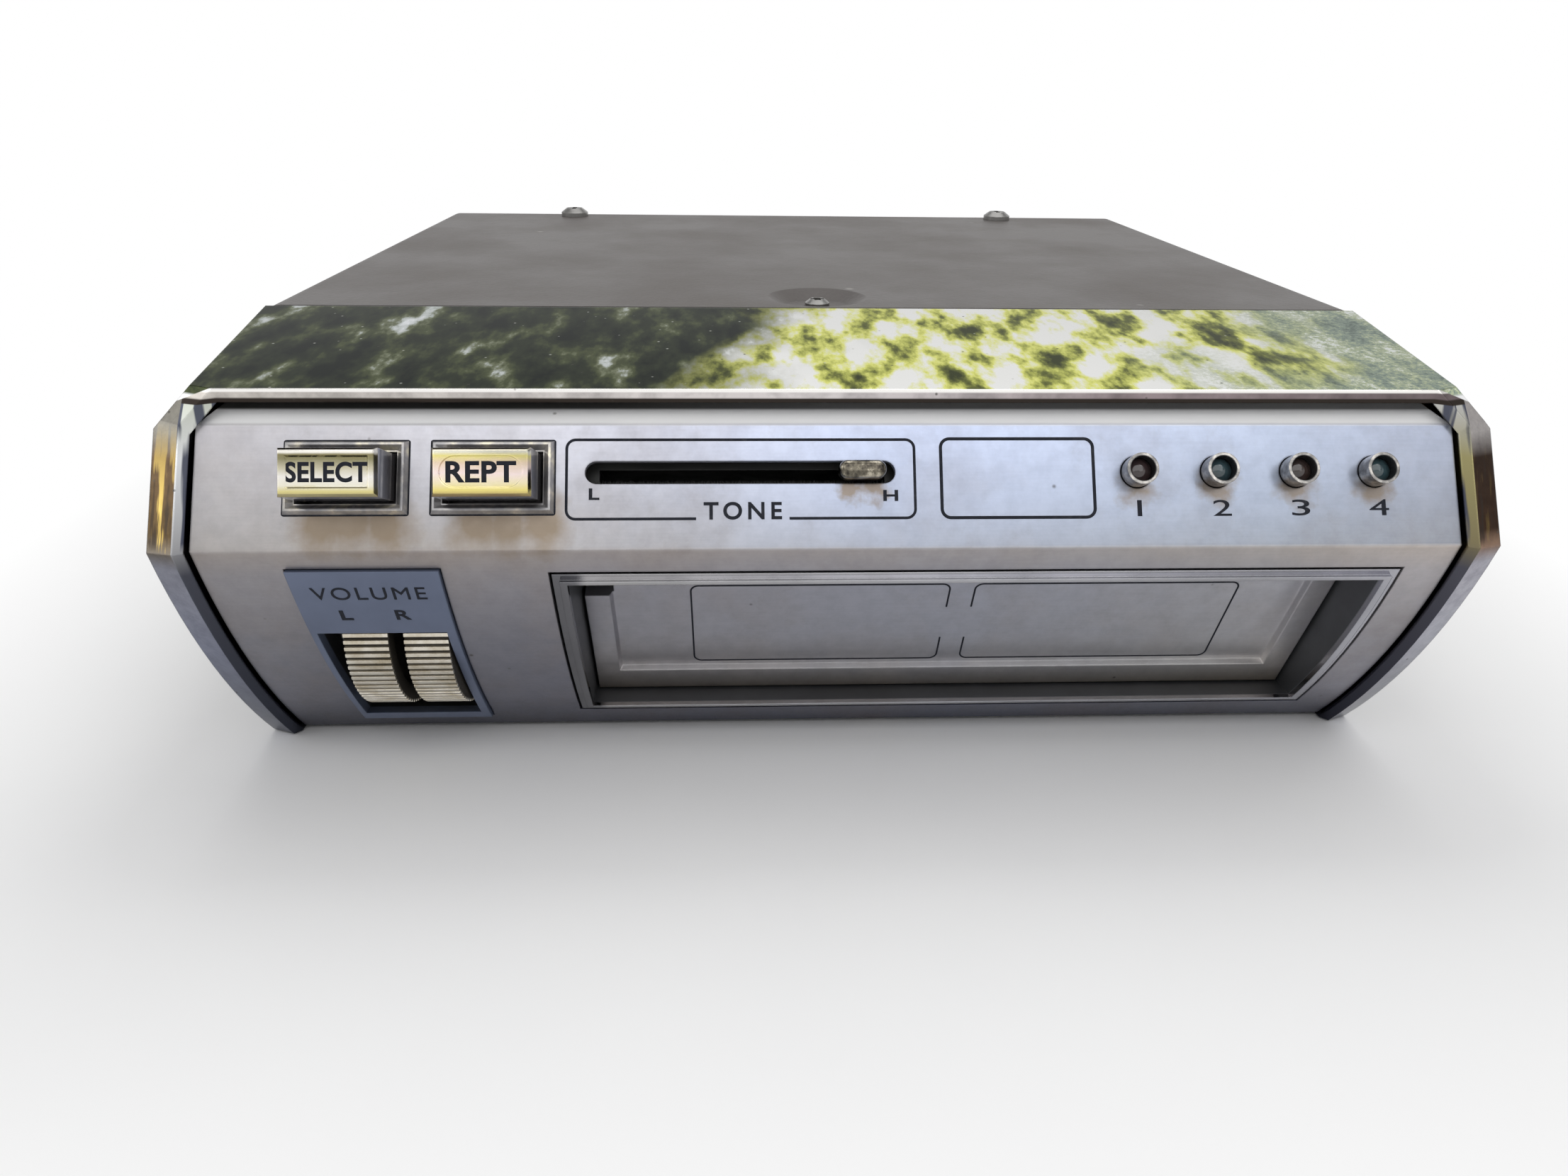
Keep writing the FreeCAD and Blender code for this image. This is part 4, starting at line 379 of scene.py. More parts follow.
def bezelMirror(shader, coords):
    # mirror plating with painted reflections in soft dark and pale patches and streaked bands down the
    # front
    f = mirrorFinish
    axes = separated(coords)
    side = maths("ABSOLUTE", axes["X"])
    right = between(axes["X"], (-1.0, 1.0))
    drift = noiseValue(stretched(coords, (0.6, 0.5, 1.0)), f["patch"] * 3.2, 2.0)
    patch = noiseValue(stretched(coords, (0.85, 0.4, 1.0)), f["patch"], 5.0, 0.56)
    patch = plus(times(patch, 0.8), times(drift, 0.2))
    along = plus(axes["X"], ramped(drift, 0.35, 0.65, -f["wander"] * mm, f["wander"] * mm))
    top = mixed(between(along, f["leftToMiddle"]), colourRamp(patch, f["leftPaintedReflections"]),
                colourRamp(patch, f["middlePaintedReflections"]))
    fine = noiseValue(coords, 0.8, 3.0, 0.8)
    sprinkled = colourRamp(plus(times(patch, 0.55), times(fine, 0.45)), f["rightPaintedReflections"])
    top = mixed(between(along, f["middleToRight"]), top, sprinkled)
    top = laid(top, rgb(f["dust"]), specks(coords, 1.5, 0.16), 0.65)
    # painted light: the faces under the top are made pale, so the panel's top band reflects them bright
    under = planeGap(coords, (0, f["ridgeY"] * mm, f["ridgeZ"] * mm), (0, -f["slope"], 1.0))
    top = mixed(between(under, f["underTop"], 1.0, 0.0), top, rgb(f["underside"]))

    # bands down the front: painted reflections by height and side, with painted gold glints and dark
    # painted reflection streaks above the fold
    high = between(axes["Z"], f["streakStart"])
    fading = times(high, between(axes["Z"], f["streakEnd"], 1.0, 0.0))
    band = twoAlong(right, coords, "Z", f["leftBandReflection"], f["rightBandReflection"])
    mottle = noiseValue(coords, 2.2, 7.0, 0.75)
    band = multiplied(band, colourRamp(mottle, ((0.36, (0.84, 0.84, 0.86)), (0.62, grey(1.1)))))
    streak = noiseValue(stretched(coords, (1.0, 0.1, 0.1)), 1.2, 3.0)
    gold = times(ramped(streak, 0.52, 0.6), ramped(right, 0.0, 1.0, 0.9, 0.12))
    band = laid(band, rgb(f["glint"]), gold, fading)
    dark = times(ramped(streak, 0.4, 0.47, 1.0, 0.0), 0.7)
    band = laid(band, rgb(f["shadow"]), dark, fading)

    # inner bevels: painted reflections by height and side, crossed by dark painted reflection lines
    bevel = twoAlong(right, coords, "Z", f["leftBevelReflection"], f["rightBevelReflection"])
    lines = noiseValue(stretched(coords, (1.0, 0.07, 0.07)), 1.5, 2.0)
    lines = times(ramped(lines, 0.44, 0.5, 1.0, 0.0), high)
    bevel = laid(bevel, rgb(f["bevelReflectionLine"]), lines, 0.92)
    inside = between(side, (f["bevelX"], f["bevelX"] + 0.1), 1.0, 0.0)
    front = mixed(inside, band, bevel)

    # lip over the panel: painted shade darker to the right, a painted highlight along its top and a painted
    # shadow band at its foot
    lip = between(axes["Z"], (f["lipZ"] - 0.1, f["lipZ"]))
    lipShade = multiplied(alongAxis(coords, "X", f["lip"]),
                          colourRamp(patch, ((0.38, grey(0.6)), (0.6, grey(1.0)))))
    lipShade = mixed(between(axes["Z"], f["lipHighlightZ"]), lipShade, rgb(f["lipHighlight"]))
    lipShade = mixed(between(axes["Z"], f["lipShadowZ"], 1.0, 0.0), lipShade, rgb(f["shadow"]))
    front = laid(front, lipShade, lip, inside)

    behind = times(between(axes["Y"], (f["ridgeY"] - 0.05, f["ridgeY"] + 0.05)),
                   between(axes["Z"], f["topZ"]))
    wall = between(side, (f["outerX"] - 0.02, f["outerX"]))
    colour = mixed(wall, mixed(behind, front, top), rgb(f["wall"]))
    plateSurface(shader, coords, colour, 0.05, 0.28, grazing=f["grazing"])


def mirrorPlate(shader, coords, stops, size, roughness, edge, metal=1.0):
    # small bright pieces: the same plating with patches of their own size and tints
    plateSurface(shader, coords, colourRamp(noiseValue(coords, size, 5.0), stops), roughness, edge)
    feed(shader, {"Metallic": metal})


# the inside colour is painted shade in the bores
lampTube = {"radius": 2.15, "bore": 1.7, "rise": 10.25, "inside": (0.03, 0.03, 0.032)}
tubesLow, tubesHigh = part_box("lamp_tubes")
lampFirst = tubesLow[0] / mm + lampTube["radius"]
lampPitch = (tubesHigh[0] / mm - lampTube["radius"] - lampFirst) / 3


def tubePlate(shader, coords, stops):
    # plated lamp tubes, with painted shade inside their bores
    f = lampTube
    face = upperFace(lampFirst, f["rise"], 0.0)
    fromFirst = maths("SUBTRACT", separated(coords)["X"], lampFirst * mm)
    across = maths("PINGPONG", fromFirst, lampPitch / 2 * mm)
    rise = planeGap(coords, face.translation, face.col[1].to_3d())
    flat = addNode(coords, "ShaderNodeCombineXYZ", {"X": across, "Y": rise}).outputs[0]
    outer = between(vectorMaths("LENGTH", flat), (f["bore"] + 0.02, f["bore"] + 0.14))
    patch = colourRamp(noiseValue(coords, 1.4, 5.0), stops)
    plateSurface(shader, coords, mixed(outer, rgb(f["inside"]), patch), 0.14, 0.12)
    feed(shader, {"Metallic": ramped(outer, 0.0, 1.0, 0.2, 1.0)})


buttonShades = {
    # face colours up the face: painted reflections, with painted highlights near the rims
    "select": ((0.0, (0.42, 0.36, 0.2)), (0.1, (0.7, 0.62, 0.27)), (0.22, (0.84, 0.8, 0.66)),
               (0.4, (0.86, 0.83, 0.78)), (0.56, (0.6, 0.56, 0.42)), (0.76, (0.27, 0.25, 0.14)),
               (0.85, (0.26, 0.23, 0.12)), (0.9, (0.96, 0.93, 0.84)), (1.0, (0.8, 0.77, 0.74))),
    "repeat": ((0.0, (0.38, 0.27, 0.14)), (0.12, (0.84, 0.72, 0.24)), (0.26, (0.9, 0.8, 0.52)),
               (0.48, (0.98, 0.82, 0.78)), (0.68, (0.88, 0.7, 0.52)), (0.82, (0.9, 0.8, 0.3)),
               (0.9, (0.95, 0.92, 0.76)), (1.0, (0.78, 0.72, 0.58))),
    # walls: painted slate shade, darker at the foot
    "wall": (0.3, 0.31, 0.37), "wallFootShade": (0.085, 0.08, 0.085), "foot": (-5.5, -1.2),
    "tall": 6.2, "wander": 0.2, "dip": (-0.3, -0.1), "neck": 0.7,
}


def buttonPlate(shader, coords, node, paintedReflections):
    # warm mirror plating on a push button: painted reflections and highlights on its face, painted slate
    # shade on its walls
    f = buttonShades
    low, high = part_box(node)
    face = buttonFace((low[0] + high[0]) / 2 / mm, frontForm["buttonOut"])
    rise = planeGap(coords, face.translation, face.col[1].to_3d())
    ahead = planeGap(coords, face.translation, face.col[2].to_3d())
    swirl = noiseValue(stretched(coords, (0.5, 1.0, 1.0)), 2.2, 4.0, 0.6)
    share = between(rise, (-f["tall"] / 2, f["tall"] / 2))
    sunk = between(ahead, f["dip"], f["wander"], f["wander"] * 0.15)
    colour = colourRamp(plus(share, times(maths("SUBTRACT", swirl, 0.5), sunk)), paintedReflections)
    wall = mixed(between(ahead, f["foot"]), rgb(f["wallFootShade"]), rgb(f["wall"]))
    beside = between(ahead, (-f["neck"] - 0.05, -f["neck"] + 0.05), 1.0, 0.0)
    plateSurface(shader, coords, mixed(beside, colour, wall), 0.07, 0.22, 0.5)
    feed(shader, {"Metallic": ramped(beside, 0.0, 1.0, 1.0, 0.35)})


platePatches = {
    "surround": ((0.36, (0.3, 0.295, 0.3)), (0.48, (0.4, 0.39, 0.39)), (0.58, (0.56, 0.53, 0.49)),
                 (0.66, (0.86, 0.8, 0.62))),
    "pewter": ((0.4, (0.045, 0.04, 0.034)), (0.52, (0.15, 0.135, 0.105)), (0.62, (0.46, 0.42, 0.34))),
    "tube": ((0.36, (0.15, 0.145, 0.14)), (0.5, (0.27, 0.26, 0.25)), (0.64, (0.5, 0.48, 0.45))),
}

silverFinish = {
    # the grime colour is dirt, and also the painted shadow under the bezel's lip
    "grimeAndShadow": (0.13, 0.115, 0.095), "stainAndShadow": (0.34, 0.25, 0.15), "roughness": 0.34, "edge": 0.3,
    "brushLength": 24.0, "brushSize": 0.3, "speckSize": 2.4, "speckShare": 0.022, "metal": 0.7,
    "creaseZ": 41.3,
    "bandZ": 55.5,   # the top edge is turned to the sky above this, painted near white as a painted highlight
    "gapZ": 56.75,   # and carries a painted shadow under the bezel's lip above this
    "gapShade": ((-88.0, grey(0.97)), (-30.0, grey(0.94)), (0.0, grey(0.82)), (88.0, grey(0.74))),
    # painted light across the faces: the upper face darker to the right, the lower face lighter to the
    # right
    "upperSideLight": ((-88.0, (0.88, 0.86, 0.84)), (-40.0, (0.84, 0.84, 0.86)), (5.0, (0.77, 0.86, 1.04)),
                  (60.0, (0.7, 0.79, 0.93)), (88.0, (0.68, 0.74, 0.85))),
    "lowerSideLight": ((-88.0, (0.98, 0.955, 0.95)), (-30.0, (1.04, 1.02, 1.05)), (20.0, (1.1, 1.12, 1.2)),
                  (60.0, (1.25, 1.25, 1.26)), (88.0, (1.52, 1.46, 1.42))),
}
# painted shade by height: the panel and the door darker towards the bottom
panelHeightShade = ((1.5, (0.075, 0.08, 0.11)), (5.5, (0.125, 0.13, 0.16)), (10.0, (0.185, 0.19, 0.225)),
                (24.0, (0.235, 0.24, 0.27)), (37.0, (0.31, 0.305, 0.32)), (40.8, (0.36, 0.335, 0.32)),
                (41.6, (0.5, 0.485, 0.48)), (47.0, (0.58, 0.58, 0.61)), (55.2, (0.7, 0.7, 0.75)),
                (58.0, (0.74, 0.74, 0.78)))
doorHeightShade = ((8.0, (0.3, 0.27, 0.23)), (11.5, (0.44, 0.43, 0.42)), (20.0, (0.4, 0.405, 0.43)),
               (34.0, (0.39, 0.395, 0.43)))


def satinSilver(shader, coords, heightShade, dirt, stainAndShadowSpots=()):
    # satin silver sheet: fine grain, dull clouds, dark flecks, warm staining and painted shadow under the
    # controls, painted shade and light
    f = silverFinish
    brush = noiseValue(stretched(coords, (1.0 / f["brushLength"], 1.0, 1.0)), f["brushSize"], 3.0)
    cloud = ramped(noiseValue(coords, 17.0, 7.0, 0.66), 0.44, 0.7)
    grain = noiseValue(coords, 0.45, 2.0)
    mottle = noiseValue(coords, 2.6, 4.0, 0.7)
    flecks = specks(coords, f["speckSize"], f["speckShare"] * (0.4 + dirt))
    smudge = ramped(noiseValue(coords, 5.0, 8.0, 0.74), 0.56, 0.76, 0.0, dirt)
    z = separated(coords)["Z"]
    above = between(z, (f["creaseZ"] - 0.2, f["creaseZ"] + 0.2))
    # painted light by side, for the upper and the lower face
    tint = twoAlong(above, coords, "X", f["lowerSideLight"], f["upperSideLight"])
    # painted shade by height under the painted light by side
    colour = multiplied(alongAxis(coords, "Z", heightShade), tint)
    colour = laid(colour, rgb(f["stainAndShadow"]), cloud, 0.16)
    colour = multiplied(colour, colourRamp(brush, ((0.3, grey(1.0)), (0.75, (0.95, 0.95, 0.955)))))
    colour = multiplied(colour, colourRamp(mottle, ((0.34, (0.93, 0.93, 0.935)), (0.62, grey(1.04)))))
    colour = laid(colour, rgb(f["grimeAndShadow"], 1.6), smudge, 0.34)
    # warm staining with painted shadow under the lamps and the buttons
    for spots, reach, strength in stainAndShadowSpots:
        colour = laid(colour, rgb(f["stainAndShadow"], 0.72), nearSpots(coords, spots, reach), strength)
    # painted highlight: the top band near white and barely metallic
    bent = between(z, (f["bandZ"] - 0.25, f["bandZ"] + 0.15))
    colour = laid(colour, rgb(grey(1.0)), bent, 0.97)
    colour = laid(colour, rgb(f["grimeAndShadow"], 0.5), flecks, 0.75)
    # painted shadow under the bezel's lip, stronger to the left
    lipShadowLine = between(z, (f["gapZ"] - 0.1, f["gapZ"] + 0.1))
    colour = laid(colour, rgb(f["grimeAndShadow"], 0.1), lipShadowLine, alongAxis(coords, "X", f["gapShade"]))
    rough = ramped(plus(cloud, grain), 0.3, 1.6, f["roughness"] - 0.05, f["roughness"] + 0.16)
    feed(shader, {"Base Color": colour, "Roughness": rough,
                  "Metallic": ramped(bent, 0.0, 1.0, f["metal"], 0.05)})
    rounded(shader, f["edge"], plus(times(brush, 0.35), times(grain, 0.6)), 0.1, 0.04)


coverFinish = {"colour": (0.096, 0.085, 0.08), "dust": (0.21, 0.19, 0.17), "fleck": (0.4, 0.38, 0.35),
               "roughness": 0.5, "edge": 0.5, "grain": 0.55, "crackle": 0.9, "scuff": 5.0}


def coverPaint(shader, coords):
    # dark crackle paint with dust in the hollows and light scuffs
    f = coverFinish
    grain = noiseValue(coords, f["grain"], 3.0, 0.6)
    cells = cellOutputs(coords, f["crackle"], feature="SMOOTH_F1")["Distance"]
    cloud = ramped(noiseValue(coords, 34.0, 6.0, 0.62), 0.4, 0.75)
    scuff = noiseValue(stretched(coords, (0.25, 1.4, 1.0)), f["scuff"], 9.0, 0.72)
    colour = laid(rgb(f["colour"]), rgb(f["dust"]), cloud, 0.3)
    colour = mixed(ramped(grain, 0.3, 0.8, 0.0, 0.3), colour, rgb(f["colour"], 0.55))
    colour = laid(colour, rgb(f["dust"], 1.5), ramped(scuff, 0.64, 0.74), 0.28)
    colour = laid(colour, rgb(f["fleck"]), specks(coords, 6.0, 0.05), 0.5)
    rough = ramped(cloud, 0.0, 1.0, f["roughness"] - 0.06, f["roughness"] + 0.14)
    feed(shader, {"Base Color": colour, "Roughness": rough})
    rounded(shader, f["edge"], plus(grain, times(cells, 0.8)), 0.35, 0.1)


zincFinish = {"colour": (0.58, 0.585, 0.57), "dull": (0.4, 0.4, 0.385), "rust": (0.24, 0.11, 0.05),
              "roughness": 0.38, "spangle": 7.0}


def zincSheet(shader, coords, rust, shade=1.0):
    # plated steel: faint spangle, storage marks and a little rust
    f = zincFinish
    cells = cellOutputs(coords, f["spangle"])
    tone = addNode(coords, "ShaderNodeSeparateColor", {"Color": cells["Color"]}).outputs[1]
    cloud = ramped(noiseValue(coords, 11.0, 7.0, 0.65), 0.4, 0.7)
    spots = ramped(noiseValue(coords, 3.0, 8.0, 0.7), 0.66, 0.76, 0.0, rust)
    colour = laid(rgb(f["colour"], shade), rgb(f["dull"], shade), cloud, 0.42)
    colour = laid(colour, rgb(f["dull"], shade * 0.8), tone, 0.34)
    rough = plus(times(tone, 0.4), cloud)
    rough = ramped(rough, 0.0, 1.4, f["roughness"] - 0.08, f["roughness"] + 0.18)
    feed(shader, {"Base Color": mixed(spots, colour, rgb(f["rust"])), "Roughness": rough, "Metallic": 0.9})
    rounded(shader, 0.2, noiseValue(coords, 0.8, 3.0), 0.12, 0.04)


mouldingFinish = {"roughness": 0.48, "edge": 0.25, "grain": 0.35}


def moulding(shader, coords, colour, gloss=0.0, mottle=0.25):
    # moulded plastic: fine spark texture, flow clouds, rubbed places
    f = mouldingFinish
    grain = noiseValue(coords, f["grain"], 2.0)
    cloud = ramped(noiseValue(coords, 9.0, 5.0), 0.4, 0.7)
    tone = laid(rgb(colour), rgb(colour, 1.5), cloud, mottle)
    tone = mixed(ramped(grain, 0.4, 0.8, 0.0, 0.25), tone, rgb(colour, 0.7))
    rough = f["roughness"] - gloss
    feed(shader, {"Base Color": tone, "Roughness": ramped(cloud, 0.0, 1.0, rough - 0.06, rough + 0.1)})
    rounded(shader, f["edge"], grain, 0.18, 0.03)


def turnedMetal(shader, coords, colour, roughness, ringed=False, dirt=0.25):
    # machined metal: turning marks round Z or plain grain, tarnish in clouds
    grain = noiseValue(stretched(coords, (1.0, 1.0, 0.12 if ringed else 1.0)), 0.5, 3.0)
    cloud = ramped(noiseValue(coords, 6.0, 6.0, 0.65), 0.45, 0.7)
    tone = laid(rgb(colour), rgb(colour, 0.45), cloud, dirt)
    tone = mixed(ramped(grain, 0.35, 0.75, 0.0, 0.2), tone, rgb(colour, 0.7))
    rough = ramped(cloud, 0.0, 1.0, roughness, roughness + 0.16)
    feed(shader, {"Base Color": tone, "Roughness": rough, "Metallic": 1.0})
    rounded(shader, 0.15, grain, 0.12, 0.03)


def byDepth(shader, coords, look):
    # one finish on the front skin and, on what lies deeper behind it, a dark one that paints the recess's
    # shade
    front, back = look["front"], look["back"]
    radius = frontForm["sweepRadius"] - look["depth"]
    centre = sweepCentre()
    origin = place(0, centre.y, centre.z)
    skin = between(axleReach(coords, origin.y, origin.z), (radius - 0.25, radius))
    cloud = ramped(noiseValue(coords, 8.0, 6.0, 0.6), 0.4, 0.72)
    outer = laid(rgb(front["colour"]), rgb(front["colour"], 0.6), cloud, 0.35)
    inner = laid(rgb(back["colour"]), rgb(back["colour"], 1.6), cloud, 0.5)
    # painted shade across the front, where given
    if "across" in front:
        outer = multiplied(outer, alongAxis(coords, "X", front["across"]))
    rough = ramped(skin, 0.0, 1.0, back["roughness"], front["roughness"])
    feed(shader, {"Base Color": mixed(skin, inner, outer), "Roughness": plus(rough, times(cloud, 0.08)),
                  "Metallic": ramped(skin, 0.0, 1.0, back["metal"], front["metal"])})
    rounded(shader, 0.22, noiseValue(coords, 0.4, 2.0), 0.1, 0.03)


wheelFinish = {"rib": (0.66, 0.62, 0.54), "tarnish": (0.4, 0.33, 0.21), "groove": (0.045, 0.038, 0.03),
               "ribDepth": 0.5}


def ribbedChrome(shader, coords, node):
    # plated ribs, with the grooves between them dark and dull
    f = wheelFinish
    low, high = (Vector(corner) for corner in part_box(node))
    centre = (low + high) / 2
    radius = (high.z - low.z) / 2 / mm
    top = between(axleReach(coords, centre.y, centre.z), (radius - f["ribDepth"], radius - 0.08))
    cloud = ramped(noiseValue(coords, 3.0, 6.0, 0.65), 0.42, 0.7)
    plate = laid(rgb(f["rib"]), rgb(f["tarnish"]), cloud, 0.75)
    feed(shader, {"Base Color": mixed(top, rgb(f["groove"]), plate),
                  "Metallic": ramped(top, 0.0, 1.0, 0.25, 1.0),
                  "Roughness": plus(ramped(top, 0.0, 1.0, 0.6, 0.16), times(cloud, 0.12))})
    rounded(shader, 0.12, noiseValue(coords, 0.6, 3.0), 0.12, 0.03)


lensTints = ((0.05, 0.03, 0.03), (0.045, 0.085, 0.1), (0.055, 0.035, 0.03), (0.05, 0.095, 0.11))


def smokedLens(shader, coords):
    # four lenses of one moulding batch, brownish and bluish in turn
    step = between(separated(coords)["X"], (lampFirst - lampPitch / 2, lampFirst + 3.5 * lampPitch))
    stops = [(index / 4, tint) for index, tint in enumerate(lensTints)] + [(1.0, lensTints[-1])]
    tints = colourRamp(step, stops)
    tints.node.color_ramp.interpolation = "CONSTANT"
    swirl = ramped(noiseValue(coords, 1.2, 4.0), 0.35, 0.75, 0.0, 0.5)
    feed(shader, {"Base Color": mixed(swirl, tints, rgb((0.02, 0.02, 0.022))),
                  "Roughness": ramped(swirl, 0.0, 0.5, 0.08, 0.22),
                  "Coat Weight": 0.6, "Coat Roughness": 0.08})


inkFinish = {"colour": (0.014, 0.016, 0.024), "worn": (0.085, 0.085, 0.095)}


def printedInk(shader, coords, wear):
    # screen print that has worn thin in places
    thin = ramped(noiseValue(coords, 1.1, 8.0, 0.7), 0.52, 0.74, 0.0, wear)
    feed(shader, {"Base Color": mixed(thin, rgb(inkFinish["colour"]), rgb(inkFinish["worn"])),
                  "Roughness": ramped(thin, 0.0, 1.0, 0.5, 0.7), "Specular IOR Level": 0.15})


# where dirt and painted shadow gather under the controls: (places along X, height on the upper face, reach,
# strength)
stainAndShadowRows = (([lampFirst + i * lampPitch for i in range(4)], 7.9, 3.2, 0.75),
             ((-68.0, -64.0, -60.0, -48.0, -44.0, -40.0), 3.6, 5.0, 0.8),
             ((1.2, 4.4), 8.4, 2.6, 0.8))
panelStainAndShadow = [([upperFace(x, rise, 0.0).translation for x in xs], reach, strength)
               for xs, rise, reach, strength in stainAndShadowRows]
volumeLook = {
    "depth": 2.4,
    "front": {"colour": (0.15, 0.18, 0.265), "metal": 0.5, "roughness": 0.38},
    # the deeper walls: painted shade in the recess
    "back": {"colour": (0.02, 0.02, 0.022), "metal": 0.0, "roughness": 0.5},
}
# painted shade across the frame, darkest at its left edge
frameShades = ((-38.0, (0.27, 0.27, 0.28)), (-35.6, (0.32, 0.32, 0.33)), (-34.6, (0.68, 0.67, 0.66)),
               (20.0, (0.74, 0.74, 0.76)), (60.0, (0.58, 0.58, 0.6)), (77.0, (0.66, 0.66, 0.7)))
frameLook = {
    "depth": 1.8,
    "front": {"colour": (0.66, 0.66, 0.68), "metal": 1.0, "roughness": 0.14, "across": frameShades},
    # the deeper walls: painted shade in the recess
    "back": {"colour": (0.085, 0.088, 0.095), "metal": 0.5, "roughness": 0.4},
}

# each finish: the function that dresses it, and what that is given
recipes = {
    "bezelChrome": (bezelMirror,),
    "selectChrome": (buttonPlate, "select_button", buttonShades["select"]),
    "repeatChrome": (buttonPlate, "repeat_button", buttonShades["repeat"]),
    "tubeChrome": (tubePlate, platePatches["tube"]),
    # patch size, roughness, edge radius, metal
    "surroundChrome": (mirrorPlate, platePatches["surround"], 3.0, 0.14, 0.15, 0.55),
    "pewter": (mirrorPlate, platePatches["pewter"], 1.5, 0.16, 0.1),
    # dirt, staining with painted shadow
    "panelSilver": (satinSilver, panelHeightShade, 0.5, panelStainAndShadow),
    "doorSilver": (satinSilver, doorHeightShade, 0.6),
    "coverPaint": (coverPaint,),
    # rust, shade
    "zinc": (zincSheet, 0.25),
    "darkZinc": (zincSheet, 0.15, 0.45),
    "blackedSteel": (zincSheet, 0.1, 0.1),
    # colour, gloss, mottle
    "blackMoulding": (moulding, (0.016, 0.016, 0.018)),
    "blackGloss": (moulding, (0.02, 0.02, 0.022), 0.22),
    "whiteMoulding": (moulding, (0.72, 0.7, 0.63), 0.1, 0.1),
    "phenolic": (moulding, (0.16, 0.085, 0.04), 0.12, 0.4),
    "boardBrown": (moulding, (0.3, 0.17, 0.06), 0.05, 0.4),
    "canGrey": (moulding, (0.05, 0.1, 0.2), 0.2),
    "rubber": (moulding, (0.018, 0.017, 0.016), -0.2, 0.5),
    # colour, roughness, turning marks, tarnish
    "brass": (turnedMetal, (0.78, 0.58, 0.26), 0.24, True),
    "copper": (turnedMetal, (0.62, 0.26, 0.11), 0.32, True, 0.4),
    "darkSteel": (turnedMetal, (0.3, 0.295, 0.285), 0.3, False, 0.5),
    "shaftSteel": (turnedMetal, grey(0.6), 0.18, True),
    "alloy": (turnedMetal, (0.66, 0.66, 0.665), 0.34, False, 0.3),
    "volumePlate": (byDepth, volumeLook),
    "doorFrame": (byDepth, frameLook),
    "wheelChrome": (ribbedChrome, "volume_wheel_left"),
    "lens": (smokedLens,),
    # wear
    "ink": (printedInk, 0.35),
    "freshInk": (printedInk, 0.12),
}
finishes = {name: newFinish(name, *recipe) for name, recipe in recipes.items()}
print("finishes")

nodeFinish = {
    "bezelChrome": ["bezel"],
    "surroundChrome": ["select_surround", "repeat_surround"],
    "tubeChrome": ["lamp_tubes"],
    "pewter": ["tone_knob"],
    "selectChrome": ["select_button"],
    "repeatChrome": ["repeat_button"],
    "panelSilver": ["front_panel"],
    "doorSilver": ["door_flap"],
    "doorFrame": ["door_frame"],
    "volumePlate": ["volume_plate"],
    "wheelChrome": ["volume_wheel_left", "volume_wheel_right"],
    "lens": ["program_lenses"],
    "coverPaint": ["top_cover"],
    "zinc": ["base_tray", "front_bridge", "side_nuts", "volume_pots", "cartridge_spring",
             "deck_plate", "motor", "cam_bracket", "solenoid_frame", "switch_lever"],
    "blackedSteel": ["slide_pot"],
    "darkZinc": ["volume_bracket", "switch_bracket", "cartridge_guide"],
    "darkSteel": ["cover_screws", "bezel_screws", "deck_screws", "door_spring", "plunger_spring"],
    "shaftSteel": ["door_hinge_pin", "capstan_shaft", "guide_rods", "solenoid_plunger", "tape_head"],
    "blackMoulding": ["panel_carrier", "amplifier_chips"],
    "whiteMoulding": ["lamp_holder", "program_cam"],
    "phenolic": ["button_switches", "power_switch"],
    "boardBrown": ["main_board"],
    "canGrey": ["capacitors"],
    "rubber": ["drive_belt", "rear_gland"],
    "brass": ["deck_pillars", "thrust_bearing", "capstan_bush", "motor_pulley", "board_spacers"],
    "copper": ["solenoid_coil", "noise_choke"],
    "alloy": ["flywheel", "head_carriage", "heat_sink"],
    "blackGloss": ["lamp_bulbs"],
}
for finish, names in nodeFinish.items():
    for name in names:
        nodes[name].data.materials.clear()
        nodes[name].data.materials.append(finishes[finish])
print("solids dressed")


def keepPiece(obj, body, finish):
    obj.data.materials.clear()
    obj.data.materials.append(finishes[finish])
    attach(obj, body)
    return obj


def newObject(name, data):
    obj = bpy.data.objects.new(name, data)
    bpy.context.scene.collection.objects.link(obj)
    return obj


def plainMesh(obj, modifier=None):
    # the object's evaluated mesh, and the object itself is gone
    bpy.context.view_layer.update()
    mesh = bpy.data.meshes.new_from_object(obj.evaluated_get(bpy.context.evaluated_depsgraph_get()))
    if modifier:
        obj.modifiers.remove(modifier)
    bpy.data.objects.remove(obj)
    return mesh


printFilm = {"lift": 0.02, "top": 0.03, "foot": -0.02}


def wordMesh(text, width, height, weight, spacing):
    # generic lettering fitted to a width and height, centred, flat
    curve = bpy.data.curves.new("lettering", "FONT")
    curve.body = text
    curve.size = 1.0
    curve.offset = weight
    curve.space_character = spacing
    curve.resolution_u = 6
    curve.extrude = 0.01
    mesh = plainMesh(newObject("lettering", curve))
    xs = [v.co.x for v in mesh.vertices]
    ys = [v.co.y for v in mesh.vertices]
    centre = Vector(((min(xs) + max(xs)) / 2, (min(ys) + max(ys)) / 2, 0))
    scale = (width * mm / (max(xs) - min(xs)), height * mm / (max(ys) - min(ys)))
    for v in mesh.vertices:
        flat = v.co - centre
        level = printFilm["top"] if v.co.z > 0 else printFilm["foot"]
        v.co = (flat.x * scale[0], flat.y * scale[1], level * mm)
    return mesh


def printWord(key, spot, body, finish, text, width, height, weight, spacing):
    mesh = wordMesh(text, width, height, weight, spacing)
    mesh.transform(spot)
    keepPiece(newObject("mark_" + key, mesh), body, finish)


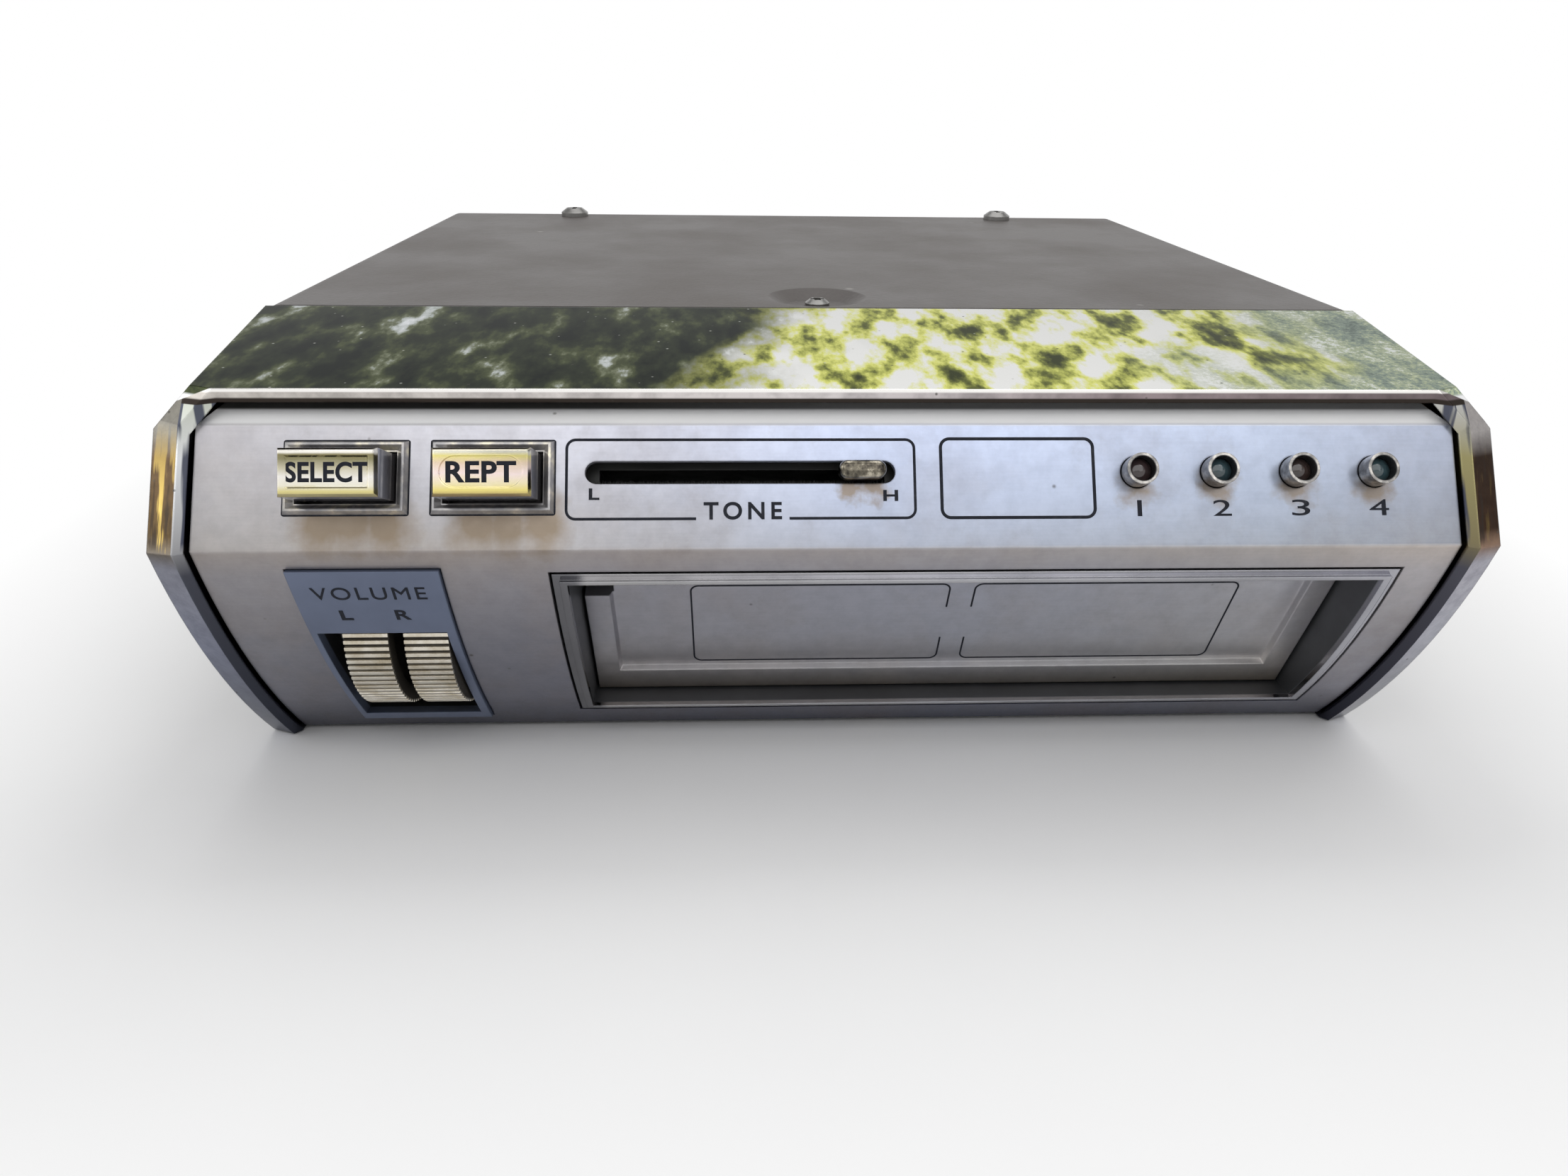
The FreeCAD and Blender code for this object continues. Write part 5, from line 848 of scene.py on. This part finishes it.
# each word: text, place across, place up the face, width, height, weight, letter spacing
panelWords = {
    "tone": ("TONE", -13.2, 5.15, 10.4, 2.4, 0.022, 1.35),
    "toneLow": ("L", -32.85, 7.45, 1.4, 1.55, 0.025, 1.0),
    "toneHigh": ("H", 6.6, 7.15, 2.0, 1.5, 0.025, 1.0),
    "lamp1": ("1", 40.4, 5.3, 0.6, 2.2, 0.0, 1.0),
    "lamp2": ("2", 51.8, 5.3, 2.5, 2.2, 0.0, 1.0),
    "lamp3": ("3", 62.7, 5.3, 2.5, 2.2, 0.0, 1.0),
    "lamp4": ("4", 73.65, 5.3, 2.7, 2.2, 0.0, 1.0),
}
for key, (text, x, rise, *shape) in panelWords.items():
    printWord(key, upperFace(x, rise, printFilm["lift"]), "chassis", "ink", text, *shape)

plateSunk = 1.0   # volume plate, behind the lower face
volumeWords = {
    "volume": ("VOLUME", -63.5, -7.2, 15.2, 2.3, 0.0, 1.2),
    "left": ("L", -67.6, -11.2, 1.6, 1.95, 0.03, 1.0),
    "right": ("R", -59.95, -11.2, 2.0, 1.95, 0.02, 1.0),
}
for key, (text, x, z, *shape) in volumeWords.items():
    spot = lowerFace(x, z, plateSunk) @ Matrix.Translation((0, 0, printFilm["lift"] * mm))
    printWord(key, spot, "chassis", "freshInk", text, *shape)

buttonDip = 0.35  # sunk face of a button
buttonWords = {
    "select": ("SELECT", -65.15, 10.2, 2.6, 0.03, 1.05),
    "repeat": ("REPT", -46.1, 8.8, 2.7, 0.03, 1.05),
}
for key, (text, x, *shape) in buttonWords.items():
    spot = buttonFace(x, frontForm["buttonOut"] - buttonDip + printFilm["lift"])
    printWord(key, spot, key + "_button", "freshInk", text, *shape)
print("lettering")


def newTree(name, inputs):
    # tree with geometry in and out, inputs are (label, kind, start value)
    tree = bpy.data.node_groups.new(name, "GeometryNodeTree")
    addSocket = tree.interface.new_socket
    addSocket("Geometry", in_out="INPUT", socket_type="NodeSocketGeometry")
    for label, kind, value in inputs:
        socket = addSocket(label, in_out="INPUT", socket_type="NodeSocket" + kind)
        if value is not None:
            socket.default_value = value
    addSocket("Geometry", in_out="OUTPUT", socket_type="NodeSocketGeometry")
    return tree, tree.nodes.new("NodeGroupInput").outputs


def swept(curve, section):
    values = {"Curve": curve.outputs["Curve"], "Profile Curve": section.outputs["Curve"], "Fill Caps": True}
    return addNode(curve, "GeometryNodeCurveToMesh", values).outputs["Mesh"]


def closeTree(tree, geometry, material):
    # every tree ends in real geometry of one material
    realize = addNode(tree, "GeometryNodeRealizeInstances", {"Geometry": geometry})
    values = {"Geometry": realize.outputs["Geometry"], "Material": material}
    paint = addNode(tree, "GeometryNodeSetMaterial", values)
    addNode(tree, "NodeGroupOutput", {"Geometry": paint.outputs["Geometry"]})
    return tree


def lineTree():
    # ribbon that follows a path: corners rounded, flat section, ink
    tree, given = newTree("printedLine", (("Corner", "Float", 1.2 * mm), ("Line Width", "Float", 0.4 * mm),
                                          ("Film", "Float", 0.05 * mm), ("Ink", "Material", None)))
    values = {"Count": 8, "Limit Radius": True, "Curve": given["Geometry"], "Radius": given["Corner"]}
    fillet = addNode(tree, "GeometryNodeFilletCurve", values, mode="POLY")
    values = {"Width": given["Line Width"], "Height": given["Film"]}
    section = addNode(tree, "GeometryNodeCurvePrimitiveQuadrilateral", values)
    return closeTree(tree, swept(fillet, section), given["Ink"])


def withTree(obj, tree, values):
    # runs the tree on the object and returns the plain mesh
    modifier = obj.modifiers.new("build", "NODES")
    modifier.node_group = tree
    named = {item.name: item.identifier for item in tree.interface.items_tree if item.in_out == "INPUT"}
    for label, value in values.items():
        modifier[named[label]] = value
    return plainMesh(obj, modifier)


def pathCurve(runs):
    # straight runs of points in the flat, closed where the first point comes back
    curve = bpy.data.curves.new("path", "CURVE")
    curve.dimensions = "3D"
    for points in runs:
        closed = points[0] == points[-1]
        kept = points[:-1] if closed else points
        spline = curve.splines.new("POLY")
        spline.points.add(len(kept) - 1)
        for point, (x, y) in zip(spline.points, kept):
            point.co = (x * mm, y * mm, 0, 1)
        spline.use_cyclic_u = closed
    return newObject("path", curve)


def boxRun(box):
    # closed outline of a rectangle
    left, right, low, high = box["left"], box["right"], box["low"], box["high"]
    return [(left, low), (left, high), (right, high), (right, low), (left, low)]


inkLine = lineTree()


def printLines(name, runs, spot, body, look):
    values = {"Corner": look["corner"] * mm, "Line Width": look["line"] * mm, "Ink": finishes["ink"]}
    mesh = withTree(pathCurve(runs), inkLine, values)
    mesh.transform(spot)
    keepPiece(newObject(name, mesh), body, "ink")


panelSheet = upperFace(0, 0, printFilm["lift"])
toneBox = {"left": -36.5, "right": 9.9, "low": 4.1, "high": 14.8, "corner": 1.2, "line": 0.36}
toneGap = (-19.4, -7.0)  # left open for the word
toneRun = [(toneGap[0], toneBox["low"])] + boxRun(toneBox)[:-1] + [(toneGap[1], toneBox["low"])]
printLines("tone_outline", [toneRun], panelSheet, "chassis", toneBox)

blankBox = {"left": 13.5, "right": 34.3, "low": 4.1, "high": 14.9, "corner": 1.2, "line": 0.42}
printLines("blank_outline", [boxRun(blankBox)], panelSheet, "chassis", blankBox)

doorBoxes = {"line": 0.26, "corner": 1.2, "top": 3.1, "low": 20.6, "breakTop": 8.2, "breakLow": 15.4,
             "outer": (-20.9, 61.8), "inner": (17.8, 21.6)}


def doorRun(outer, inner):
    # one of the door's two outlines, broken on its inner side
    f = doorBoxes
    return [(inner, -f["breakTop"]), (inner, -f["top"]), (outer, -f["top"]), (outer, -f["low"]),
            (inner, -f["low"]), (inner, -f["breakLow"])]


doorRuns = [doorRun(*sides) for sides in zip(doorBoxes["outer"], doorBoxes["inner"])]
printLines("door_outlines", doorRuns, flapFace(0, 0, printFilm["lift"]), "door", doorBoxes)

# dark gap round the frames of the push buttons
gapLines = {"line": 0.2, "corner": 0.25, "margin": 0.06, "tall": 9.9, "lift": 0.03}
for key in ("select", "repeat"):
    low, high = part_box(key + "_surround")
    spot = upperFace((low[0] + high[0]) / 2 / mm, frontForm["buttonRise"], gapLines["lift"])
    wide = (high[0] - low[0]) / 2 / mm + gapLines["margin"]
    tall = gapLines["tall"] / 2 + gapLines["margin"]
    run = boxRun({"left": -wide, "right": wide, "low": -tall, "high": tall})
    printLines(key + "_gap", [run], spot, "chassis", gapLines)
print("printed lines")


def bristleTree():
    # short dust bristles along a path, leaning at random
    tree, given = newTree("bristleRow", (("Spacing", "Float", 0.25 * mm), ("Length", "Float", 0.6 * mm),
                                         ("Thickness", "Float", 0.07 * mm), ("Lean", "Float", 0.5),
                                         ("Seed", "Int", 7), ("Fibre", "Material", None)))
    values = {"Curve": given["Geometry"], "Length": given["Spacing"]}
    spaced = addNode(tree, "GeometryNodeResampleCurve", values, mode="LENGTH")
    values = {"Vertices": 5, "Radius Top": 0.01 * mm, "Radius Bottom": given["Thickness"],
              "Depth": given["Length"]}
    fibre = addNode(tree, "GeometryNodeMeshCone", values)
    upright, tilt = math.radians(-90.0), 0.15  # cones grow along Z, the row lies in X and Y
    least = addNode(tree, "ShaderNodeCombineXYZ", {"X": upright - tilt, "Z": times(given["Lean"], -1.0)})
    most = addNode(tree, "ShaderNodeCombineXYZ", {"X": upright + tilt, "Z": given["Lean"]})
    values = {"Min": least.outputs[0], "Max": most.outputs[0], "Seed": given["Seed"]}
    spin = addNode(tree, "FunctionNodeRandomValue", values, data_type="FLOAT_VECTOR")
    values = {"Points": spaced.outputs["Curve"], "Instance": fibre.outputs["Mesh"],
              "Rotation": spin.outputs["Value"]}
    row = addNode(tree, "GeometryNodeInstanceOnPoints", values)
    return closeTree(tree, row.outputs["Instances"], given["Fibre"])


dustBrush = {"left": -33.2, "right": 6.5, "low": 8.85, "lift": -1.3, "spacing": 0.22, "length": 0.75,
             "thickness": 0.09, "lean": 0.6, "seed": 7}
b = dustBrush
values = {"Spacing": b["spacing"] * mm, "Length": b["length"] * mm, "Thickness": b["thickness"] * mm,
          "Lean": b["lean"], "Seed": b["seed"], "Fibre": finishes["rubber"]}
brushRow = withTree(pathCurve([[(b["left"], 0.0), (b["right"], 0.0)]]), bristleTree(), values)
brushRow.transform(upperFace(0, b["low"], b["lift"]))
keepPiece(newObject("slot_bristles", brushRow), "chassis", "rubber")
print("slot bristles")


def coilTree():
    # round wire wound upwards from the origin
    tree, given = newTree("woundCoil", (("Turns", "Float", 5.0), ("Coil Radius", "Float", 4.0 * mm),
                                        ("Wire", "Float", 0.35 * mm), ("Height", "Float", 7.0 * mm),
                                        ("Steel", "Material", None)))
    values = {"Resolution": 40, "Rotations": given["Turns"], "Start Radius": given["Coil Radius"],
              "End Radius": given["Coil Radius"], "Height": given["Height"]}
    helix = addNode(tree, "GeometryNodeCurveSpiral", values)
    section = addNode(tree, "GeometryNodeCurvePrimitiveCircle", {"Resolution": 14, "Radius": given["Wire"]})
    return closeTree(tree, swept(helix, section), given["Steel"])


returnSpring = {"turns": 5.0, "wire": 0.35, "travel": 3.0}  # spring round the solenoid's plunger
b = returnSpring
low, high = (Vector(corner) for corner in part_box("plunger_spring"))
wire = b["wire"] * mm
values = {"Turns": b["turns"], "Coil Radius": (high.x - low.x) / 2 - wire, "Wire": wire,
          "Height": high.z - low.z - 2 * wire, "Steel": finishes["darkSteel"]}
wound = withTree(pathCurve([[(0, 0), (1, 0)]]), coilTree(), values)
wound.transform(Matrix.Translation(((low.x + high.x) / 2, (low.y + high.y) / 2, low.z + wire)))
spring = keepPiece(newObject("return_spring", wound), "chassis", "darkSteel")
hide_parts("plunger_spring")
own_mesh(spring)
print("return spring")

cameraSet = {"place": (-14.01, -125.36, 56.1), "pan": -0.049476, "tilt": -0.454259, "roll": -0.014634,
             "focal": 1479.95, "imageWidth": 2212, "sensor": 36.0}


def addCamera():
    c = cameraSet
    data = bpy.data.cameras.new("camera")
    data.sensor_width = c["sensor"]
    data.lens = c["focal"] * c["sensor"] / c["imageWidth"]
    data.clip_start, data.clip_end = 0.01, 30.0
    obj = newObject("camera", data)
    turn = Matrix.Rotation(c["pan"], 3, "Z") @ Matrix.Rotation(c["tilt"], 3, "X")
    turn = turn @ Matrix.Rotation(c["roll"], 3, "Y")
    right, forward, up = (turn @ Vector(axis) for axis in ((1, 0, 0), (0, 1, 0), (0, 0, 1)))
    obj.matrix_world = basis(place(*c["place"]), right, up, -forward)
    bpy.context.scene.camera = obj


studio = {"floorRadius": 4.0, "floorSteps": 96, "wallHeight": 2.6, "paper": grey(0.9),
          "shade": (0.86, 0.86, 0.865), "fadeStart": 0.012, "fadeEnd": 0.085, "worldLevel": 0.42}


def studioPaper(shader, coords):
    # pale paper that catches the shadow near the object and turns plain white further out
    f = studio
    fine = ramped(noiseValue(coords, 40.0, 4.0), 0.3, 0.7, 0.0, 0.5)
    feed(shader, {"Base Color": mixed(fine, rgb(f["paper"]), rgb(f["shade"])), "Roughness": 0.8})
    rays = addNode(coords, "ShaderNodeLightPath").outputs
    seen = maths("MAXIMUM", rays["Is Camera Ray"], rays["Is Glossy Ray"])
    seen = maths("MAXIMUM", seen, rays["Is Transmission Ray"])
    halves = [max(abs(a), abs(b)) for a, b in zip(cadBox[0], cadBox[1])]
    beyond = vectorMaths("SUBTRACT", vectorMaths("ABSOLUTE", coords), (halves[0], halves[1], 0.0))
    away = vectorMaths("LENGTH", vectorMaths("MAXIMUM", beyond))
    shown = times(seen, ramped(away, f["fadeStart"], f["fadeEnd"]))
    white = addNode(coords, "ShaderNodeEmission", {"Color": (1, 1, 1, 1), "Strength": 1.0}).outputs[0]
    mix = addNode(coords, "ShaderNodeMixShader", {0: shown, 1: shader.outputs[0], 2: white})
    feed(shader.id_data.nodes["Material Output"], {"Surface": mix.outputs[0]})


def addStage():
    # round floor with a low wall far out, so that every side has the same pale ground
    steps, radius = studio["floorSteps"], studio["floorRadius"]
    angles = [2 * math.pi * i / steps for i in range(steps)]
    ring = [(radius * math.cos(angle), radius * math.sin(angle)) for angle in angles]
    points = [(0, 0, 0)] + [(x, y, 0) for x, y in ring] + [(x, y, studio["wallHeight"]) for x, y in ring]
    faces = []
    for i in range(steps):
        following = (i + 1) % steps
        faces.append((0, i + 1, following + 1))
        faces.append((i + 1, i + 1 + steps, following + 1 + steps, following + 1))
    mesh = bpy.data.meshes.new("floor")
    mesh.from_pydata(points, [], faces)
    floor = newObject("floor", mesh)
    floor.data.materials.append(newFinish("floorPaper", studioPaper))


lamps = {
    "keyBox": {"size": (1.4, 0.7), "at": (0.1, -0.75, 1.0), "power": 4.4},
    "topBox": {"size": (1.6, 0.9), "at": (0.2, 0.25, 1.2), "power": 5.4},
    "sideBox": {"size": (0.5, 0.7), "at": (-0.95, -0.35, 0.6), "power": 1.2},
}
lampAim = (0, 0, 0.03)


def addLamps():
    for name, lamp in lamps.items():
        data = bpy.data.lights.new(name, "AREA")
        data.shape = "RECTANGLE"
        data.size, data.size_y = lamp["size"]
        data.energy = lamp["power"]
        obj = newObject(name, data)
        obj.location = lamp["at"]
        heading = Vector(lampAim) - Vector(lamp["at"])
        obj.rotation_euler = heading.to_track_quat("-Z", "Y").to_euler()


def addWorld():
    world = bpy.data.worlds.new("studio")
    bpy.context.scene.world = world
    world.use_nodes = True
    background = world.node_tree.nodes["Background"]
    background.inputs["Color"].default_value = (1, 1, 1, 1)
    background.inputs["Strength"].default_value = studio["worldLevel"]


addCamera()
addStage()
addLamps()
addWorld()
bpy.context.scene.view_settings.view_transform = "Standard"
print("studio")
